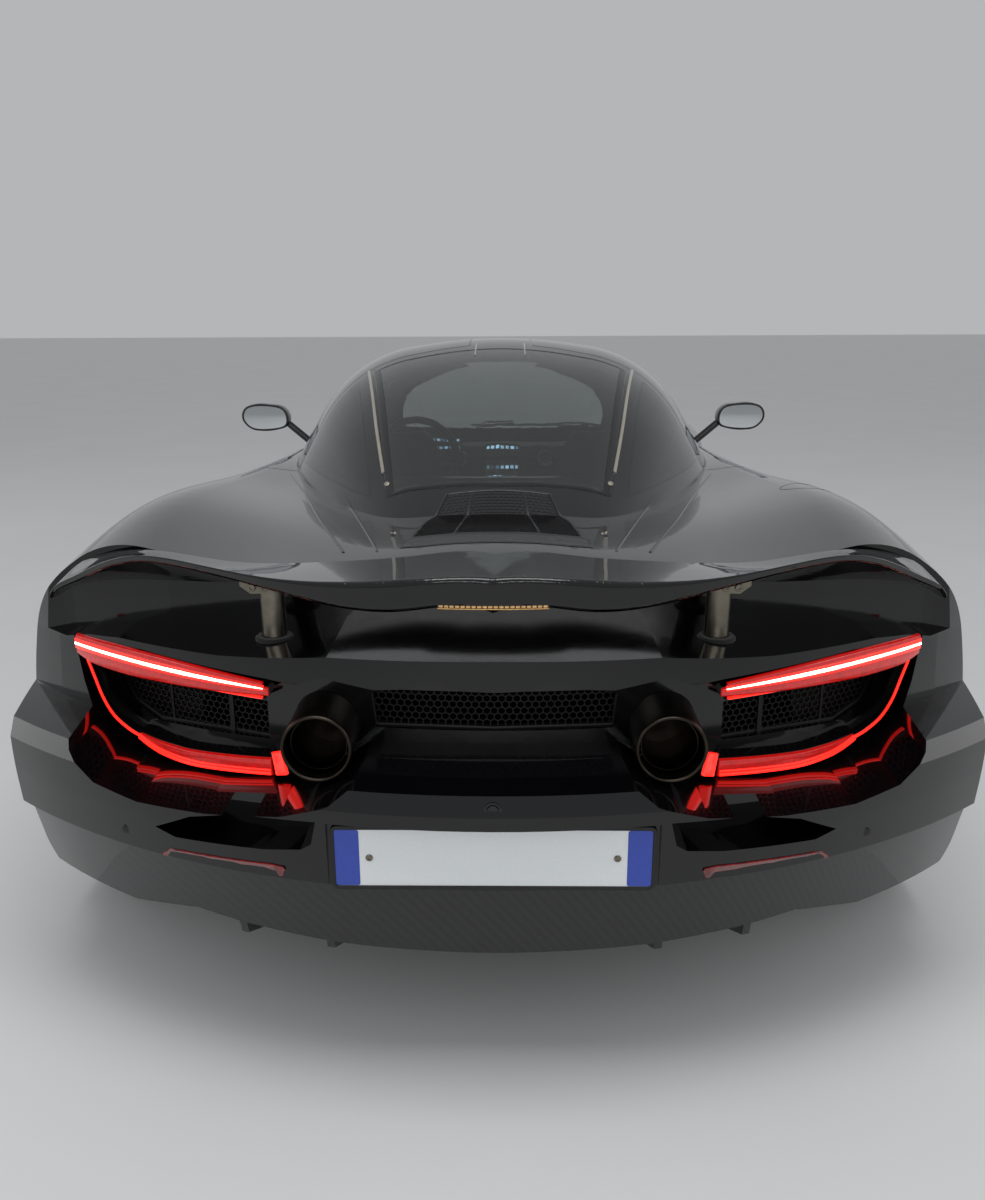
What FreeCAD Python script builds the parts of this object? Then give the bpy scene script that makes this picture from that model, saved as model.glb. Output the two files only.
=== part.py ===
"""Mid-engined two-seat supercar coupe with dihedral doors, at full size, as an assembly of its real panels.

Frame: +Y is forwards, +X is the car's right, +Z is up. The origin is on the ground, in the middle of the
car's length and width. All sizes are millimetres.
"""
import FreeCAD, Part
import math
import os
from FreeCAD import Placement, Rotation, Vector

doc = FreeCAD.newDocument("Supercar")

# Driving sizes: alias, value, what it is
SIZES = [
    ("wheelbase", 2670, "front axle to rear axle"),
    ("front_overhang", 1050, "front axle to nose tip"),
    ("rear_overhang", 823, "rear axle to the bumper's rearmost point"),
    ("roof_height", 1196, "ground to the roof's highest point"),
    ("ground_clearance", 115, "ground to the underside"),
    ("front_track", 1656, "between the front wheels' centre planes"),
    ("rear_track", 1610, "between the rear wheels' centre planes"),
    ("front_tyre_diameter", 654, "245/35 R19"),
    ("front_tyre_width", 245, ""),
    ("front_rim_diameter", 483, "19 inch"),
    ("rear_tyre_diameter", 691, "305/30 R20"),
    ("rear_tyre_width", 305, ""),
    ("rear_rim_diameter", 508, "20 inch"),
    ("tyre_shoulder", 28, "height and width of a tyre's shoulder"),
    ("rim_wall", 14, "thickness of a rim's barrel"),
    ("arch_gap", 30, "tyre tread to wheel arch"),
    ("skin", 22, "thickness of the body's fixed panels"),
    ("pillar", 34, "thickness of the roof frame"),
    ("door_thickness", 85, "outer door skin to door card"),
    ("glass", 6, "thickness of a window"),
    ("liner", 5, "thickness of a wheel-arch liner"),
    ("shut_gap", 6, "gap round a door or lid"),
    ("screen_gap", 16, "bonnet to windscreen"),
    ("spine_half_width", 92, "half of the roof's centre spine"),
    ("wing_lift", 75, "how far the rear wing stands above its stowed place"),
    ("strut_radius", 22, "wing strut"),
    ("strut_spacing", 794, "between the two wing struts"),
    ("wing_bracket_bottom", 816, "ground to the underside of a raised strut's bracket"),
    ("plate_width", 520, "number plate"),
    ("plate_height", 110, ""),
    ("plate_thickness", 4, ""),
    ("exhaust_radius", 60, "outside of an exhaust tip"),
    ("exhaust_spacing", 586, "between the two exhaust tips"),
    ("exhaust_height", 600, "ground to an exhaust tip's centre"),
    ("mirror_span", 2161, "across both mirrors"),
    ("axle_radius", 30, "wheel spindle"),
    ("kingpin_radius", 12, ""),
    ("hinge_pin_radius", 6, "of doors and bonnet"),
    ("running_clearance", 0.06, "spindle to wheel bore, pin to barrel, strut to sleeve"),
]

sheet = doc.addObject("Spreadsheet::Sheet", "Sizes")
for row, (alias, value, note) in enumerate(SIZES, 1):
    sheet.set(f"A{row}", note)
    sheet.set(f"B{row}", str(value))
    sheet.setAlias(f"B{row}", alias)
doc.recompute()


def size(alias):
    """The value of a driving size, read from the sheet."""
    return float(sheet.get(alias))


# Places along the car that follow from the driving sizes
LENGTH = size("front_overhang") + size("wheelbase") + size("rear_overhang")
NOSE = LENGTH / 2
TAIL = -LENGTH / 2
FRONT_AXLE = NOSE - size("front_overhang")
REAR_AXLE = FRONT_AXLE - size("wheelbase")
ROOF = size("roof_height")
FLOOR = size("ground_clearance")
SKIN = size("skin")
GAP = size("shut_gap")
SPINE = size("spine_half_width")
LIFT = size("wing_lift")
FIT = size("running_clearance")
AXLE = size("axle_radius")
FAR = 3000
FRONT_WHEEL_X = size("front_track") / 2
REAR_WHEEL_X = size("rear_track") / 2
FRONT_HUB_Z = size("front_tyre_diameter") / 2
REAR_HUB_Z = size("rear_tyre_diameter") / 2

NODES = []


def add_node(label, shape):
    """A sub-part whose shape is set here."""
    feature = doc.addObject("Part::Feature", label)
    feature.Label = label
    feature.Shape = shape
    NODES.append(feature)
    return feature


def mirrored(shape):
    """The same shape on the other side of the car's centre plane."""
    return shape.mirror(Vector(0, 0, 0), Vector(1, 0, 0))


def add_pair(name, right_shape):
    """A right-hand piece and its mirror image."""
    add_node(name + "_right", right_shape)
    add_node(name + "_left", mirrored(right_shape))


def both_sides(right_shape):
    """One shape of a right-hand piece and its mirror image, joined where they meet."""
    return right_shape.fuse(mirrored(right_shape))


# Outlines, prisms and sections


def rounded_wire(points, shares):
    """Closed wire through a polygon whose corners are arcs. An arc takes its share of the shorter side."""
    arcs = []
    count = len(points)
    for i, corner in enumerate(points):
        before = corner - points[i - 1]
        after = points[(i + 1) % count] - corner
        cut = shares[i] * min(before.Length, after.Length)
        before.normalize()
        after.normalize()
        half_turn = before.getAngle(after) / 2
        inward = after - before
        inward.normalize()
        radius = cut / math.tan(half_turn)
        middle = corner + inward * (radius / math.cos(half_turn) - radius)
        arcs.append((corner - before * cut, middle, corner + after * cut))
    edges = []
    for i, arc in enumerate(arcs):
        following = arcs[(i + 1) % count]
        edges.append(Part.Arc(*arc).toShape())
        edges.append(Part.LineSegment(arc[2], following[0]).toShape())
    return Part.Wire(edges)


def polygon_face(points, share=0.0):
    """Face of a closed polygon, with rounded corners where share is above 0."""
    if share:
        return Part.Face(rounded_wire(points, [share] * len(points)))
    return Part.Face(Part.makePolygon(points + points[:1]))


def side_prism(outline, x_from, x_to, share=0.0):
    """Outline of (y, z) points, seen from the side, run along X."""
    face = polygon_face([Vector(x_from, y, z) for y, z in outline], share)
    return face.extrude(Vector(x_to - x_from, 0, 0))


def plan_prism(outline, z_from, z_to, share=0.0):
    """Outline of (x, y) points, seen from above, run along Z."""
    face = polygon_face([Vector(x, y, z_from) for x, y in outline], share)
    return face.extrude(Vector(0, 0, z_to - z_from))


def skewed_prism(near, far, x_from, x_to):
    """Solid between two (y, z) outlines of as many points, at two places along X."""
    wires = []
    for x, outline in ((x_from, near), (x_to, far)):
        points = [Vector(x, y, z) for y, z in outline]
        wires.append(Part.makePolygon(points + points[:1]))
    return Part.makeLoft(wires, True, True)


def rear_prism(outline, y_from, y_to, share=0.0):
    """Outline of (x, z) points, seen from behind, run along Y."""
    face = polygon_face([Vector(x, y_from, z) for x, z in outline], share)
    return face.extrude(Vector(0, y_to - y_from, 0))


def block(x_from, x_to, y_from, y_to, z_from, z_to):
    """Box between two corners."""
    return Part.makeBox(x_to - x_from, y_to - y_from, z_to - z_from, Vector(x_from, y_from, z_from))


def rod(start, end, radius):
    """Round bar between two points."""
    along = end - start
    return Part.makeCylinder(radius, along.Length, start, along)


def signed_area(outline):
    """Positive where the outline runs anticlockwise."""
    pairs = zip(outline, outline[1:] + outline[:1])
    return sum(x1 * y2 - x2 * y1 for (x1, y1), (x2, y2) in pairs) / 2


def inset_outline(points, depth):
    """An anticlockwise outline moved inwards by depth."""
    lines = []
    for (x1, z1), (x2, z2) in zip(points, points[1:] + points[:1]):
        length = math.hypot(x2 - x1, z2 - z1)
        dx, dz = (x2 - x1) / length, (z2 - z1) / length
        lines.append((x1 - dz * depth, z1 + dx * depth, dx, dz))
    moved = []
    for (ax, az, adx, adz), (bx, bz, bdx, bdz) in zip(lines[-1:] + lines[:-1], lines):
        along = ((bx - ax) * bdz - (bz - az) * bdx) / (adx * bdz - adz * bdx)
        moved.append((ax + adx * along, az + adz * along))
    return moved


def grown(outline, amount):
    """The outline moved outwards by amount; a negative amount moves it inwards."""
    return inset_outline(outline, -amount if signed_area(outline) > 0 else amount)


# The lower body, as sections across the car. Each corner is (half-width, height); the floor edge's height
# is above the ground clearance.
# y, floor edge, sill, side, shoulder, crest, valley, centre height
BODY_SECTIONS = [
    (NOSE + 40, (600, 5), (740, 175), (800, 290), (740, 345), (520, 372), (300, 372), 380),
    (FRONT_AXLE + 880, (660, 0), (850, 185), (885, 330), (830, 432), (620, 484), (380, 452), 468),
    (FRONT_AXLE + 600, (720, 0), (900, 190), (932, 400), (890, 548), (730, 622), (440, 556), 570),
    (FRONT_AXLE + 300, (760, 0), (905, 190), (950, 480), (915, 672), (785, 745), (500, 640), 650),
    (FRONT_AXLE, (790, 0), (915, 190), (964, 510), (932, 725), (805, 806), (540, 698), 707),
    (FRONT_AXLE - 330, (800, 0), (910, 190), (940, 480), (903, 690), (792, 786), (580, 738), 752),
    (FRONT_AXLE - 700, (810, 0), (905, 190), (918, 430), (868, 650), (785, 778), (620, 765), 790),
    (FRONT_AXLE - 1150, (815, 0), (905, 190), (915, 420), (862, 650), (780, 792), (640, 785), 800),
    (REAR_AXLE + 1070, (820, 0), (915, 190), (925, 450), (872, 680), (780, 818), (620, 795), 805),
    (REAR_AXLE + 650, (825, 0), (930, 190), (945, 490), (905, 720), (790, 847), (580, 795), 815),
    (REAR_AXLE + 300, (830, 0), (940, 195), (962, 530), (930, 760), (790, 882), (470, 795), 832),
    (REAR_AXLE, (830, 5), (940, 200), (966, 560), (935, 775), (775, 898), (370, 797), 845),
    (REAR_AXLE - 350, (800, 15), (915, 215), (940, 560), (905, 765), (745, 882), (280, 800), 832),
    (REAR_AXLE - 860, (720, 35), (850, 240), (880, 560), (840, 750), (690, 852), (240, 785), 800),
]
BODY_ROUNDING = (0.25, 0.4, 0.45, 0.46, 0.42, 0.4)
CENTRE_ROUNDING = 0.48

# The glasshouse, as sections across the car.
# y, belt (x, z), roof edge (x, drop from the roof), drop at the centre
CANOPY_SECTIONS = [
    (FRONT_AXLE - 20, (430, 600), (330, 506), 491),
    (FRONT_AXLE - 270, (590, 690), (430, 411), 374),
    (FRONT_AXLE - 570, (690, 720), (500, 291), 231),
    (FRONT_AXLE - 920, (728, 740), (512, 166), 91),
    (FRONT_AXLE - 1220, (732, 750), (508, 98), 20),
    (FRONT_AXLE - 1470, (718, 755), (492, 76), 0),
    (REAR_AXLE + 850, (640, 760), (445, 111), 36),
    (REAR_AXLE + 550, (525, 760), (370, 211), 144),
    (REAR_AXLE + 250, (400, 745), (280, 346), 301),
    (REAR_AXLE, (300, 690), (200, 451), 421),
]
CANOPY_FOOT = (30, -250)
ROOF_CROWN = 18.256
CANOPY_ROUNDING = (0.05, 0.3, 0.47)


def symmetric_outline(half, centre_height):
    """A right-hand half outline, closed over the top to the left."""
    return half + [(0, centre_height)] + [(-x, z) for x, z in reversed(half)]


def section_loft(sections, rounding, depth):
    """Solid through (y, half outline, centre height) sections, its surface moved inwards by depth."""
    shares = list(rounding) + [CENTRE_ROUNDING] + list(reversed(rounding))
    wires = []
    for y, half, centre in sections:
        outline = inset_outline(symmetric_outline(half, centre), depth)
        wires.append(rounded_wire([Vector(x, y, z) for x, z in outline], shares))
    return Part.makeLoft(wires, True, False)


def body_loft(depth=0.0):
    """The lower body's solid, open-ended in front and behind."""
    rows = [(row[0], [(row[1][0], FLOOR + row[1][1])] + list(row[2:7]), row[7]) for row in BODY_SECTIONS]
    return section_loft(rows, BODY_ROUNDING, depth)


def canopy_loft(depth=0.0):
    """The glasshouse's solid, which runs down into the lower body."""
    rows = []
    for y, belt, edge, drop in CANOPY_SECTIONS:
        foot = (belt[0] + CANOPY_FOOT[0], belt[1] + CANOPY_FOOT[1])
        top = ROOF + ROOF_CROWN
        rows.append((y, [foot, belt, (edge[0], top - edge[1])], top - drop))
    return section_loft(rows, CANOPY_ROUNDING, depth)


def revolved_end(axis_y, radius, profile, towards, depth=0.0):
    """Solid of revolution about an upright axis, which rounds the nose or the tail in plan.

    profile is (how far inside the radius, height); towards is 1 for the nose and -1 for the tail."""
    rim = [Vector(0, axis_y + towards * (radius - inside - depth), z) for inside, z in profile]
    points = [Vector(0, axis_y, profile[0][1])] + rim + [Vector(0, axis_y, profile[-1][1])]
    face = Part.Face(Part.makePolygon(points + points[:1]))
    return face.revolve(Vector(0, axis_y, 0), Vector(0, 0, 1), 360)


NOSE_RADIUS = 1150
NOSE_PROFILE = [(400, 60), (30, 105), (30, 128), (115, 140), (70, 230), (0, 320), (0, 350), (20, 420),
                (60, 600), (60, 900)]
NOSE_AXIS = NOSE - NOSE_RADIUS
TAIL_RADIUS = 1471
TAIL_AXIS = TAIL + TAIL_RADIUS
TAIL_PROFILE = [(500, 60), (260, 118), (80, 225), (36, 385), (8, 398), (3, 470), (0, 535), (22, 562),
                (125, 574), (140, 690), (150, 800), (150, 1000)]
BUMPER_TOP = 568
RIGHT_HALF = block(0, FAR, -FAR, FAR, 0, FAR)


def tail_shape(depth=0.0):
    """The tail's surface of revolution, its surface moved inwards by depth, right half."""
    whole = revolved_end(TAIL_AXIS, TAIL_RADIUS, TAIL_PROFILE, -1, depth)
    return whole.common(block(0, FAR, -FAR, TAIL_AXIS, 0, FAR))


def nose_shape(depth=0.0):
    """The nose's surface of revolution, its surface moved inwards by depth, right half."""
    whole = revolved_end(NOSE_AXIS, NOSE_RADIUS, NOSE_PROFILE, 1, depth)
    return whole.common(block(0, FAR, NOSE_AXIS, FAR, 0, FAR))


def body_solid(depth=0.0):
    """Right half of the lower body with its nose and tail rounded in plan."""
    middle = block(0, FAR, TAIL_AXIS, NOSE_AXIS, 0, FAR)
    return body_loft(depth).common(middle.fuse([nose_shape(depth), tail_shape(depth)]))


def wheel_well(axle_y, hub_z, radius, inner_x, roof_inner_x, roof_z):
    """Space for a wheel: a drum through the side, with a lower roof further in."""
    drum = Part.makeCylinder(radius, FAR - inner_x, Vector(inner_x, axle_y, hub_z), Vector(1, 0, 0))
    if roof_inner_x <= inner_x:
        return drum
    return drum.cut(block(inner_x - 1, roof_inner_x, axle_y - radius, axle_y + radius, roof_z, FAR))


# The rear wing as sections along the car, in its raised place.
# x, trailing lip (y, z), bottom of the lip (z), front edge (y, bottom z, top z)
WING_SECTIONS = [
    (-150, (-2141, 884), 827, (-1893, 827, 864)),
    (0, (-2150, 890), 827, (-1896, 827, 868)),
    (150, (-2141, 884), 827, (-1893, 827, 864)),
    (280, (-2112, 873), 832, (-1884, 824, 852)),
    (380, (-2084, 874), 852, (-1876, 814, 846)),
    (500, (-2050, 888), 874, (-1866, 806, 848)),
    (600, (-2022, 896), 883, (-1857, 806, 862)),
    (690, (-1976, 872), 859, (-1841, 804, 864)),
    (770, (-1930, 832), 820, (-1819, 794, 846)),
    (829, (-1893, 788), 780, (-1800, 776, 806)),
]
# Its lowest line, seen from behind, and its front edge from above
WING_BOTTOM = [(829, 776), (770, 793), (690, 803), (480, 805), (380, 812), (280, 822), (0, 825)]
WING_LEADING = [(830, -1800), (620, -1856), (0, -1896)]
WING_ROUNDING = (0.2, 0.2, 0.12, 0.12)
WING_CLEARANCE = 8


def wing_recess(depth=0.0):
    """Space that the stowed wing takes out of the body's top, grown by depth."""
    below = WING_CLEARANCE + LIFT + depth
    floor_line = [(x, z - below) for x, z in reversed(WING_BOTTOM)]
    outline = floor_line + [(FAR, floor_line[-1][1]), (FAR, FAR), (0, FAR)]
    ahead = WING_CLEARANCE + depth
    front_line = [(x, y + ahead) for x, y in WING_LEADING]
    plan = front_line + [(0, -FAR), (FAR, -FAR), (FAR, front_line[0][1])]
    return rear_prism(outline, -FAR, 0).common(plan_prism(plan, 0, FAR))


# The tail's pocket for exhausts, outlets and lamps, whose upper edge is scalloped at the centre, and the
# slots beside the number plate. (x, z), seen from behind
TAIL_POCKET = [(-40, 578), (215, 574), (262, 540), (345, 514), (480, 498), (610, 492), (700, 506), (756, 548),
               (786, 620), (808, 700), (640, 708), (390, 692), (340, 686), (290, 703), (200, 688), (150, 692),
               (103, 709), (60, 692), (-40, 688)]
TAIL_POCKET_INSET = 190
BUMPER_SLOT = [(284, 512), (294, 470), (312, 458), (376, 449), (540, 440), (578, 452), (507, 487), (421, 508)]
BUMPER_SLOT_INSET = 80
PLATE_Z = 448
PLATE_FLOOR = TAIL + 36
PLATE_MARGIN = 8

# The headlamp's socket from above, (x, y), and its sloping floor from the side, (y, z)
HEADLAMP_OUTLINE = [(530, NOSE - 282), (610, NOSE - 200), (760, NOSE - 310), (846, NOSE - 480), (852, NOSE - 575),
                    (790, NOSE - 530), (660, NOSE - 410)]
HEADLAMP_FLOOR = [(NOSE - 100, 315), (NOSE - 650, 627)]
# The scoop along the door's shoulder: from the side, (y, z), and from above, (x, y)
SCOOP_OUTLINE = [(FRONT_AXLE - 780, 706), (FRONT_AXLE - 1696, 640), (FRONT_AXLE - 1696, 762),
                 (FRONT_AXLE - 1100, 772)]
SCOOP_DEPTH = [(930, FRONT_AXLE - 780), (800, FRONT_AXLE - 1696), (FAR, FRONT_AXLE - 1696),
               (FAR, FRONT_AXLE - 780)]


# The diffuser's channels, whose walls are its fins: (x, z), seen from behind, and their roof's slope, (y, z)
CHANNELS = [[(-60, 0), (-60, 238), (278, 240), (278, 0)],
            [(292, 0), (292, 241), (440, 250), (440, 0)],
            [(454, 0), (454, 251), (700, 276), (730, 262), (730, 0)]]
CHANNEL_SLOPE = [(REAR_AXLE - 352, 0), (REAR_AXLE - 352, 132), (REAR_AXLE - 790, 322), (-FAR, 322), (-FAR, 0)]


def channel(outline, depth):
    """One channel of the diffuser, grown by depth."""
    return rear_prism(grown(outline, depth), -FAR, 0).common(side_prism(grown(CHANNEL_SLOPE, depth), -1, FAR))


def tail_recess(outline, inset, depth):
    """Space behind the tail within an outline, down to a round floor, grown by depth."""
    prism = rear_prism(grown(outline, depth), -FAR, TAIL_AXIS)
    floor = Part.makeCylinder(TAIL_RADIUS - inset - depth, FAR, Vector(0, TAIL_AXIS, 0))
    return prism.cut(floor)


def plate_recess(depth):
    """Flat recess for the number plate, grown by depth."""
    high = size("plate_height") / 2 + PLATE_MARGIN + depth
    return block(-1, size("plate_width") / 2 + PLATE_MARGIN + depth, -FAR, PLATE_FLOOR + depth,
                 PLATE_Z - high, PLATE_Z + high)


def above_floor(lift):
    """Everything above the headlamp's floor, the floor moved up by lift."""
    (y1, z1), (y2, z2) = HEADLAMP_FLOOR
    return side_prism([(y1, z1 + lift), (y2, z2 + lift), (y2, FAR), (y1, FAR)], 400, FAR)


def headlamp_socket(depth):
    """Socket of a headlamp, grown by depth."""
    return plan_prism(grown(HEADLAMP_OUTLINE, depth), 0, FAR).common(above_floor(-1.15 * depth))


def side_scoop(depth):
    """Scoop that deepens rearwards along the door, grown by depth."""
    return side_prism(grown(SCOOP_OUTLINE, depth), 600, FAR).common(plan_prism(grown(SCOOP_DEPTH, depth), 0, FAR))


def recesses(depth):
    """All that is sunk into the body's surface, grown by depth."""
    return [wing_recess(depth), tail_recess(TAIL_POCKET, TAIL_POCKET_INSET, depth),
            tail_recess(BUMPER_SLOT, BUMPER_SLOT_INSET, depth), plate_recess(depth), headlamp_socket(depth),
            side_scoop(depth)] + [channel(outline, depth) for outline in CHANNELS]


# Master solids, right half
body_outer = body_solid().cut(recesses(0))
body_inner = body_solid(SKIN).cut(recesses(SKIN))
canopy_outer = canopy_loft().common(RIGHT_HALF)
canopy_inner = canopy_loft(size("pillar")).common(RIGHT_HALF)
canopy_glass = canopy_loft(size("glass")).common(RIGHT_HALF)
canopy_clear = canopy_loft(-size("screen_gap")).common(RIGHT_HALF)
canopy_ahead = canopy_clear.translated(Vector(0, size("screen_gap"), 0))
door_inner = body_loft(size("door_thickness")).common(RIGHT_HALF)

FRONT_ARCH = size("front_tyre_diameter") / 2 + size("arch_gap")
REAR_ARCH = size("rear_tyre_diameter") / 2 + size("arch_gap")
FRONT_WELL = (FRONT_AXLE, FRONT_HUB_Z, FRONT_ARCH, 520, 690, 664)
REAR_WELL = (REAR_AXLE, REAR_HUB_Z, REAR_ARCH, 600, 600, 800)
front_well = wheel_well(*FRONT_WELL)
rear_well = wheel_well(*REAR_WELL)

# Doors, lids and windows: outlines of their openings
DOOR_FRONT = FRONT_AXLE - 395
DOOR_REAR = REAR_AXLE + 1060
SILL_TOP = 255
ROOF_SPLIT_FRONT = FRONT_AXLE - 1110
ROOF_SPLIT_REAR = FRONT_AXLE - 1607
# The rear shut face leans outwards and upwards, so that the door leaves it as it swings
# y, z on the centre plane, and how far y moves by a metre out
DOOR_LEAN = 1000
DOOR_POINTS = [
    (DOOR_FRONT, SILL_TOP, 0), (DOOR_FRONT + 16, 500, 0), (FRONT_AXLE - 383, 752, 0),
    (FRONT_AXLE - 1006, 1048, 0), (ROOF_SPLIT_FRONT, 1100, 0), (ROOF_SPLIT_FRONT, ROOF + 60, 0),
    (ROOF_SPLIT_REAR - 105, ROOF + 60, -240), (ROOF_SPLIT_REAR, 1090, -240), (ROOF_SPLIT_REAR, 830, -240),
    (DOOR_REAR + 156, 560, -240), (DOOR_REAR + 216, SILL_TOP, -240),
]


def door_prism(clearance, x_from):
    """The door's block from x_from outwards, its outline moved inwards by clearance."""
    outline = grown([(y, z) for y, z, lean in DOOR_POINTS], -clearance)
    leans = [lean / DOOR_LEAN for y, z, lean in DOOR_POINTS]
    near = [(y + lean * x_from, z) for (y, z), lean in zip(outline, leans)]
    far = [(y + lean * FAR, z) for (y, z), lean in zip(outline, leans)]
    return skewed_prism(near, far, x_from, FAR)


# (y, z)
DOOR_GLASS_OUTLINE = [
    (FRONT_AXLE - 500, 835), (FRONT_AXLE - 1010, 1010), (FRONT_AXLE - 1600, 1040), (FRONT_AXLE - 1680, 850),
    (FRONT_AXLE - 1500, 835),
]
# (y, z), everything above the pillar
WINDSCREEN_OUTLINE = [
    (FRONT_AXLE + 100, 640), (FRONT_AXLE - 110, 742), (FRONT_AXLE - 330, 780), (FRONT_AXLE - 980, 1085),
    (FRONT_AXLE - 1042, 1100), (FRONT_AXLE - 1042, ROOF + 60), (FRONT_AXLE + 100, ROOF + 60),
]
# (x, y)
REAR_SCREEN_OUTLINE = [(-20, REAR_AXLE + 940), (388, REAR_AXLE + 915), (278, REAR_AXLE + 225),
                       (-20, REAR_AXLE + 195)]
QUARTER_GLASS_OUTLINE = [(432, REAR_AXLE + 905), (720, REAR_AXLE + 860), (700, REAR_AXLE + 500),
                         (335, REAR_AXLE + 260), (322, REAR_AXLE + 270)]
QUARTER_GLASS_BOTTOM = 838
DECK_MESH_OUTLINE = [(-20, REAR_AXLE + 95), (152, REAR_AXLE + 95), (194, REAR_AXLE - 190),
                     (-20, REAR_AXLE - 200)]
# Shallow half-moon hollow in the floor under the wing, (x, y)
DECK_HOLLOW = [(-20, REAR_AXLE - 598), (56, REAR_AXLE - 590), (86, REAR_AXLE - 560), (97, REAR_AXLE - 512),
               (-20, REAR_AXLE - 512)]
COWL = FRONT_AXLE - 150
BONNET_OUTLINE = [(520, COWL), (430, FRONT_AXLE + 520), (300, FRONT_AXLE + 640), (-20, FRONT_AXLE + 640),
                  (-20, COWL)]

door_opening = door_prism(0, SPINE)
door_zone = door_prism(GAP, SPINE + GAP)
bonnet_opening = plan_prism(grown(BONNET_OUTLINE, GAP), 500, 900)
cowl_gap = block(0, 530, COWL - 14, COWL, 500, 900)
PIN = size("hinge_pin_radius")
bonnet_axis = (Vector(474, COWL + 9, 706), Vector(548, COWL + 9, 706))
bonnet_zone = plan_prism(BONNET_OUTLINE, 500, 900).cut(canopy_clear).cut(canopy_ahead)

# Body shell, right half
intake_duct = block(768, 842, FRONT_AXLE - 1730, FRONT_AXLE - 1690, 656, 750)
skin = body_outer.cut(body_inner).cut(canopy_outer)
shell = skin.cut([front_well, rear_well, door_opening, bonnet_opening, cowl_gap, intake_duct])

# Door hinge: the door's pin lies on this line and turns in a bearing behind the front wing
HINGE_LOW = Vector(835, FRONT_AXLE - 361.5, 725)
HINGE_HIGH = Vector(390, FRONT_AXLE - 1071.5, 1210)
hinge_line = HINGE_HIGH - HINGE_LOW
hinge_line.normalize()


def on_hinge(start, end, radius):
    """Round bar along the door's hinge line, from its low point."""
    return rod(HINGE_LOW + hinge_line * start, HINGE_LOW + hinge_line * end, radius)


BEARING = (-92, -46)
UNDERTRAY_TOP = FLOOR + SKIN
BUMPER_SPLIT = FRONT_AXLE + 560
TAIL_SPLIT = REAR_AXLE - 342
TRAY_EDGE = UNDERTRAY_TOP + 10
undertray_zone = side_prism([(BUMPER_SPLIT, 0), (BUMPER_SPLIT, TRAY_EDGE), (REAR_AXLE + 100, TRAY_EDGE),
                             (TAIL_SPLIT, TRAY_EDGE + 18), (TAIL_SPLIT, 0)], -10, FAR)
front_zone = block(0, FAR, BUMPER_SPLIT, FAR, 0, FAR)
# (x, z), seen from behind
DIFFUSER_OUTLINE = [(-20, 0), (-20, 388), (640, 388), (700, 330), (790, 214), (FAR, 140), (FAR, 0)]
diffuser_zone = rear_prism(DIFFUSER_OUTLINE, -FAR, TAIL_SPLIT)
bumper_zone = block(0, FAR, -FAR, TAIL_SPLIT, 0, BUMPER_TOP)
tail_zone = block(0, 850, -FAR, TAIL_SPLIT, BUMPER_TOP, 770)
sill_zone = block(300, FAR, DOOR_REAR - 200, DOOR_FRONT, TRAY_EDGE, SILL_TOP)
wing_zone = block(0, FAR, DOOR_REAR + 400, BUMPER_SPLIT, 0, FAR)
# (x, y), the rear deck's edge
DECK_OUTLINE = [(-20, DOOR_REAR + 200), (640, DOOR_REAR + 200), (613, REAR_AXLE + 650), (336, REAR_AXLE - 50),
                (205, TAIL_SPLIT), (205, -FAR), (-20, -FAR)]
deck_zone = plan_prism(DECK_OUTLINE, 560, FAR)

EXHAUST_X = size("exhaust_spacing") / 2
EXHAUST_Z = size("exhaust_height")
exhaust_hole = rod(Vector(EXHAUST_X, -FAR, EXHAUST_Z), Vector(EXHAUST_X, -1700, EXHAUST_Z),
                   size("exhaust_radius"))
# Outlets in the pocket's floor, (x, z), seen from behind
SIDE_OUTLET = [(404, 556), (640, 546), (700, 570), (742, 640), (404, 628)]
CENTRE_OUTLET = [(-20, 600), (206, 600), (214, 660), (190, 672), (-20, 672)]
outlets = [rear_prism(outline, -FAR, -1700) for outline in (SIDE_OUTLET, CENTRE_OUTLET)]
STRUT_Y = -1960
STRUT_X = size("strut_spacing") / 2
strut_hole = rod(Vector(STRUT_X, STRUT_Y, 500), Vector(STRUT_X, STRUT_Y, 900), size("strut_radius") + FIT)

BRACKET_REACH = (-12, 52)
bracket_well = block(STRUT_X + BRACKET_REACH[0] - 8, STRUT_X + BRACKET_REACH[1] + 8, STRUT_Y - 26, STRUT_Y + 26,
                     size("wing_bracket_bottom") - LIFT - 6, 900)
rear_shell = shell.cut([exhaust_hole, strut_hole, bracket_well] + outlets)
rear_shell = rear_shell.common(block(0, FAR, -FAR, DOOR_REAR + 400, 0, FAR)).cut(undertray_zone)
undertray = both_sides(shell.common(undertray_zone))
add_node("undertray", undertray)
# Intakes of the front bumper, (x, z), seen from the front
INTAKES = [[(-20, 152), (380, 152), (420, 184), (396, 262), (-20, 276)],
           [(520, 168), (690, 176), (760, 250), (690, 322), (540, 296)]]
intakes = [rear_prism(outline, NOSE - 700, FAR) for outline in INTAKES]
add_node("front_bumper", both_sides(shell.common(front_zone).cut(intakes)))
front_wing = shell.common(wing_zone).cut(undertray_zone).cut(sill_zone)
front_wing = front_wing.cut(on_hinge(BEARING[0] - 8, BEARING[1] + 6, 20)).cut(on_hinge(BEARING[0], 40, 11.5))
front_wing = front_wing.fuse(rod(bonnet_axis[0] + Vector(12, 0, 0), bonnet_axis[1], PIN))
add_pair("front_wing", front_wing)
add_node("sills", both_sides(shell.common(sill_zone)))
rear_shell = rear_shell.cut(sill_zone)
add_node("diffuser", both_sides(rear_shell.common(diffuser_zone)))
rear_shell = rear_shell.cut(diffuser_zone)
add_node("rear_bumper", both_sides(rear_shell.common(bumper_zone)))
sleeve = rod(Vector(STRUT_X, STRUT_Y, 640), Vector(STRUT_X, STRUT_Y, 726), size("strut_radius") + 9)
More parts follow.
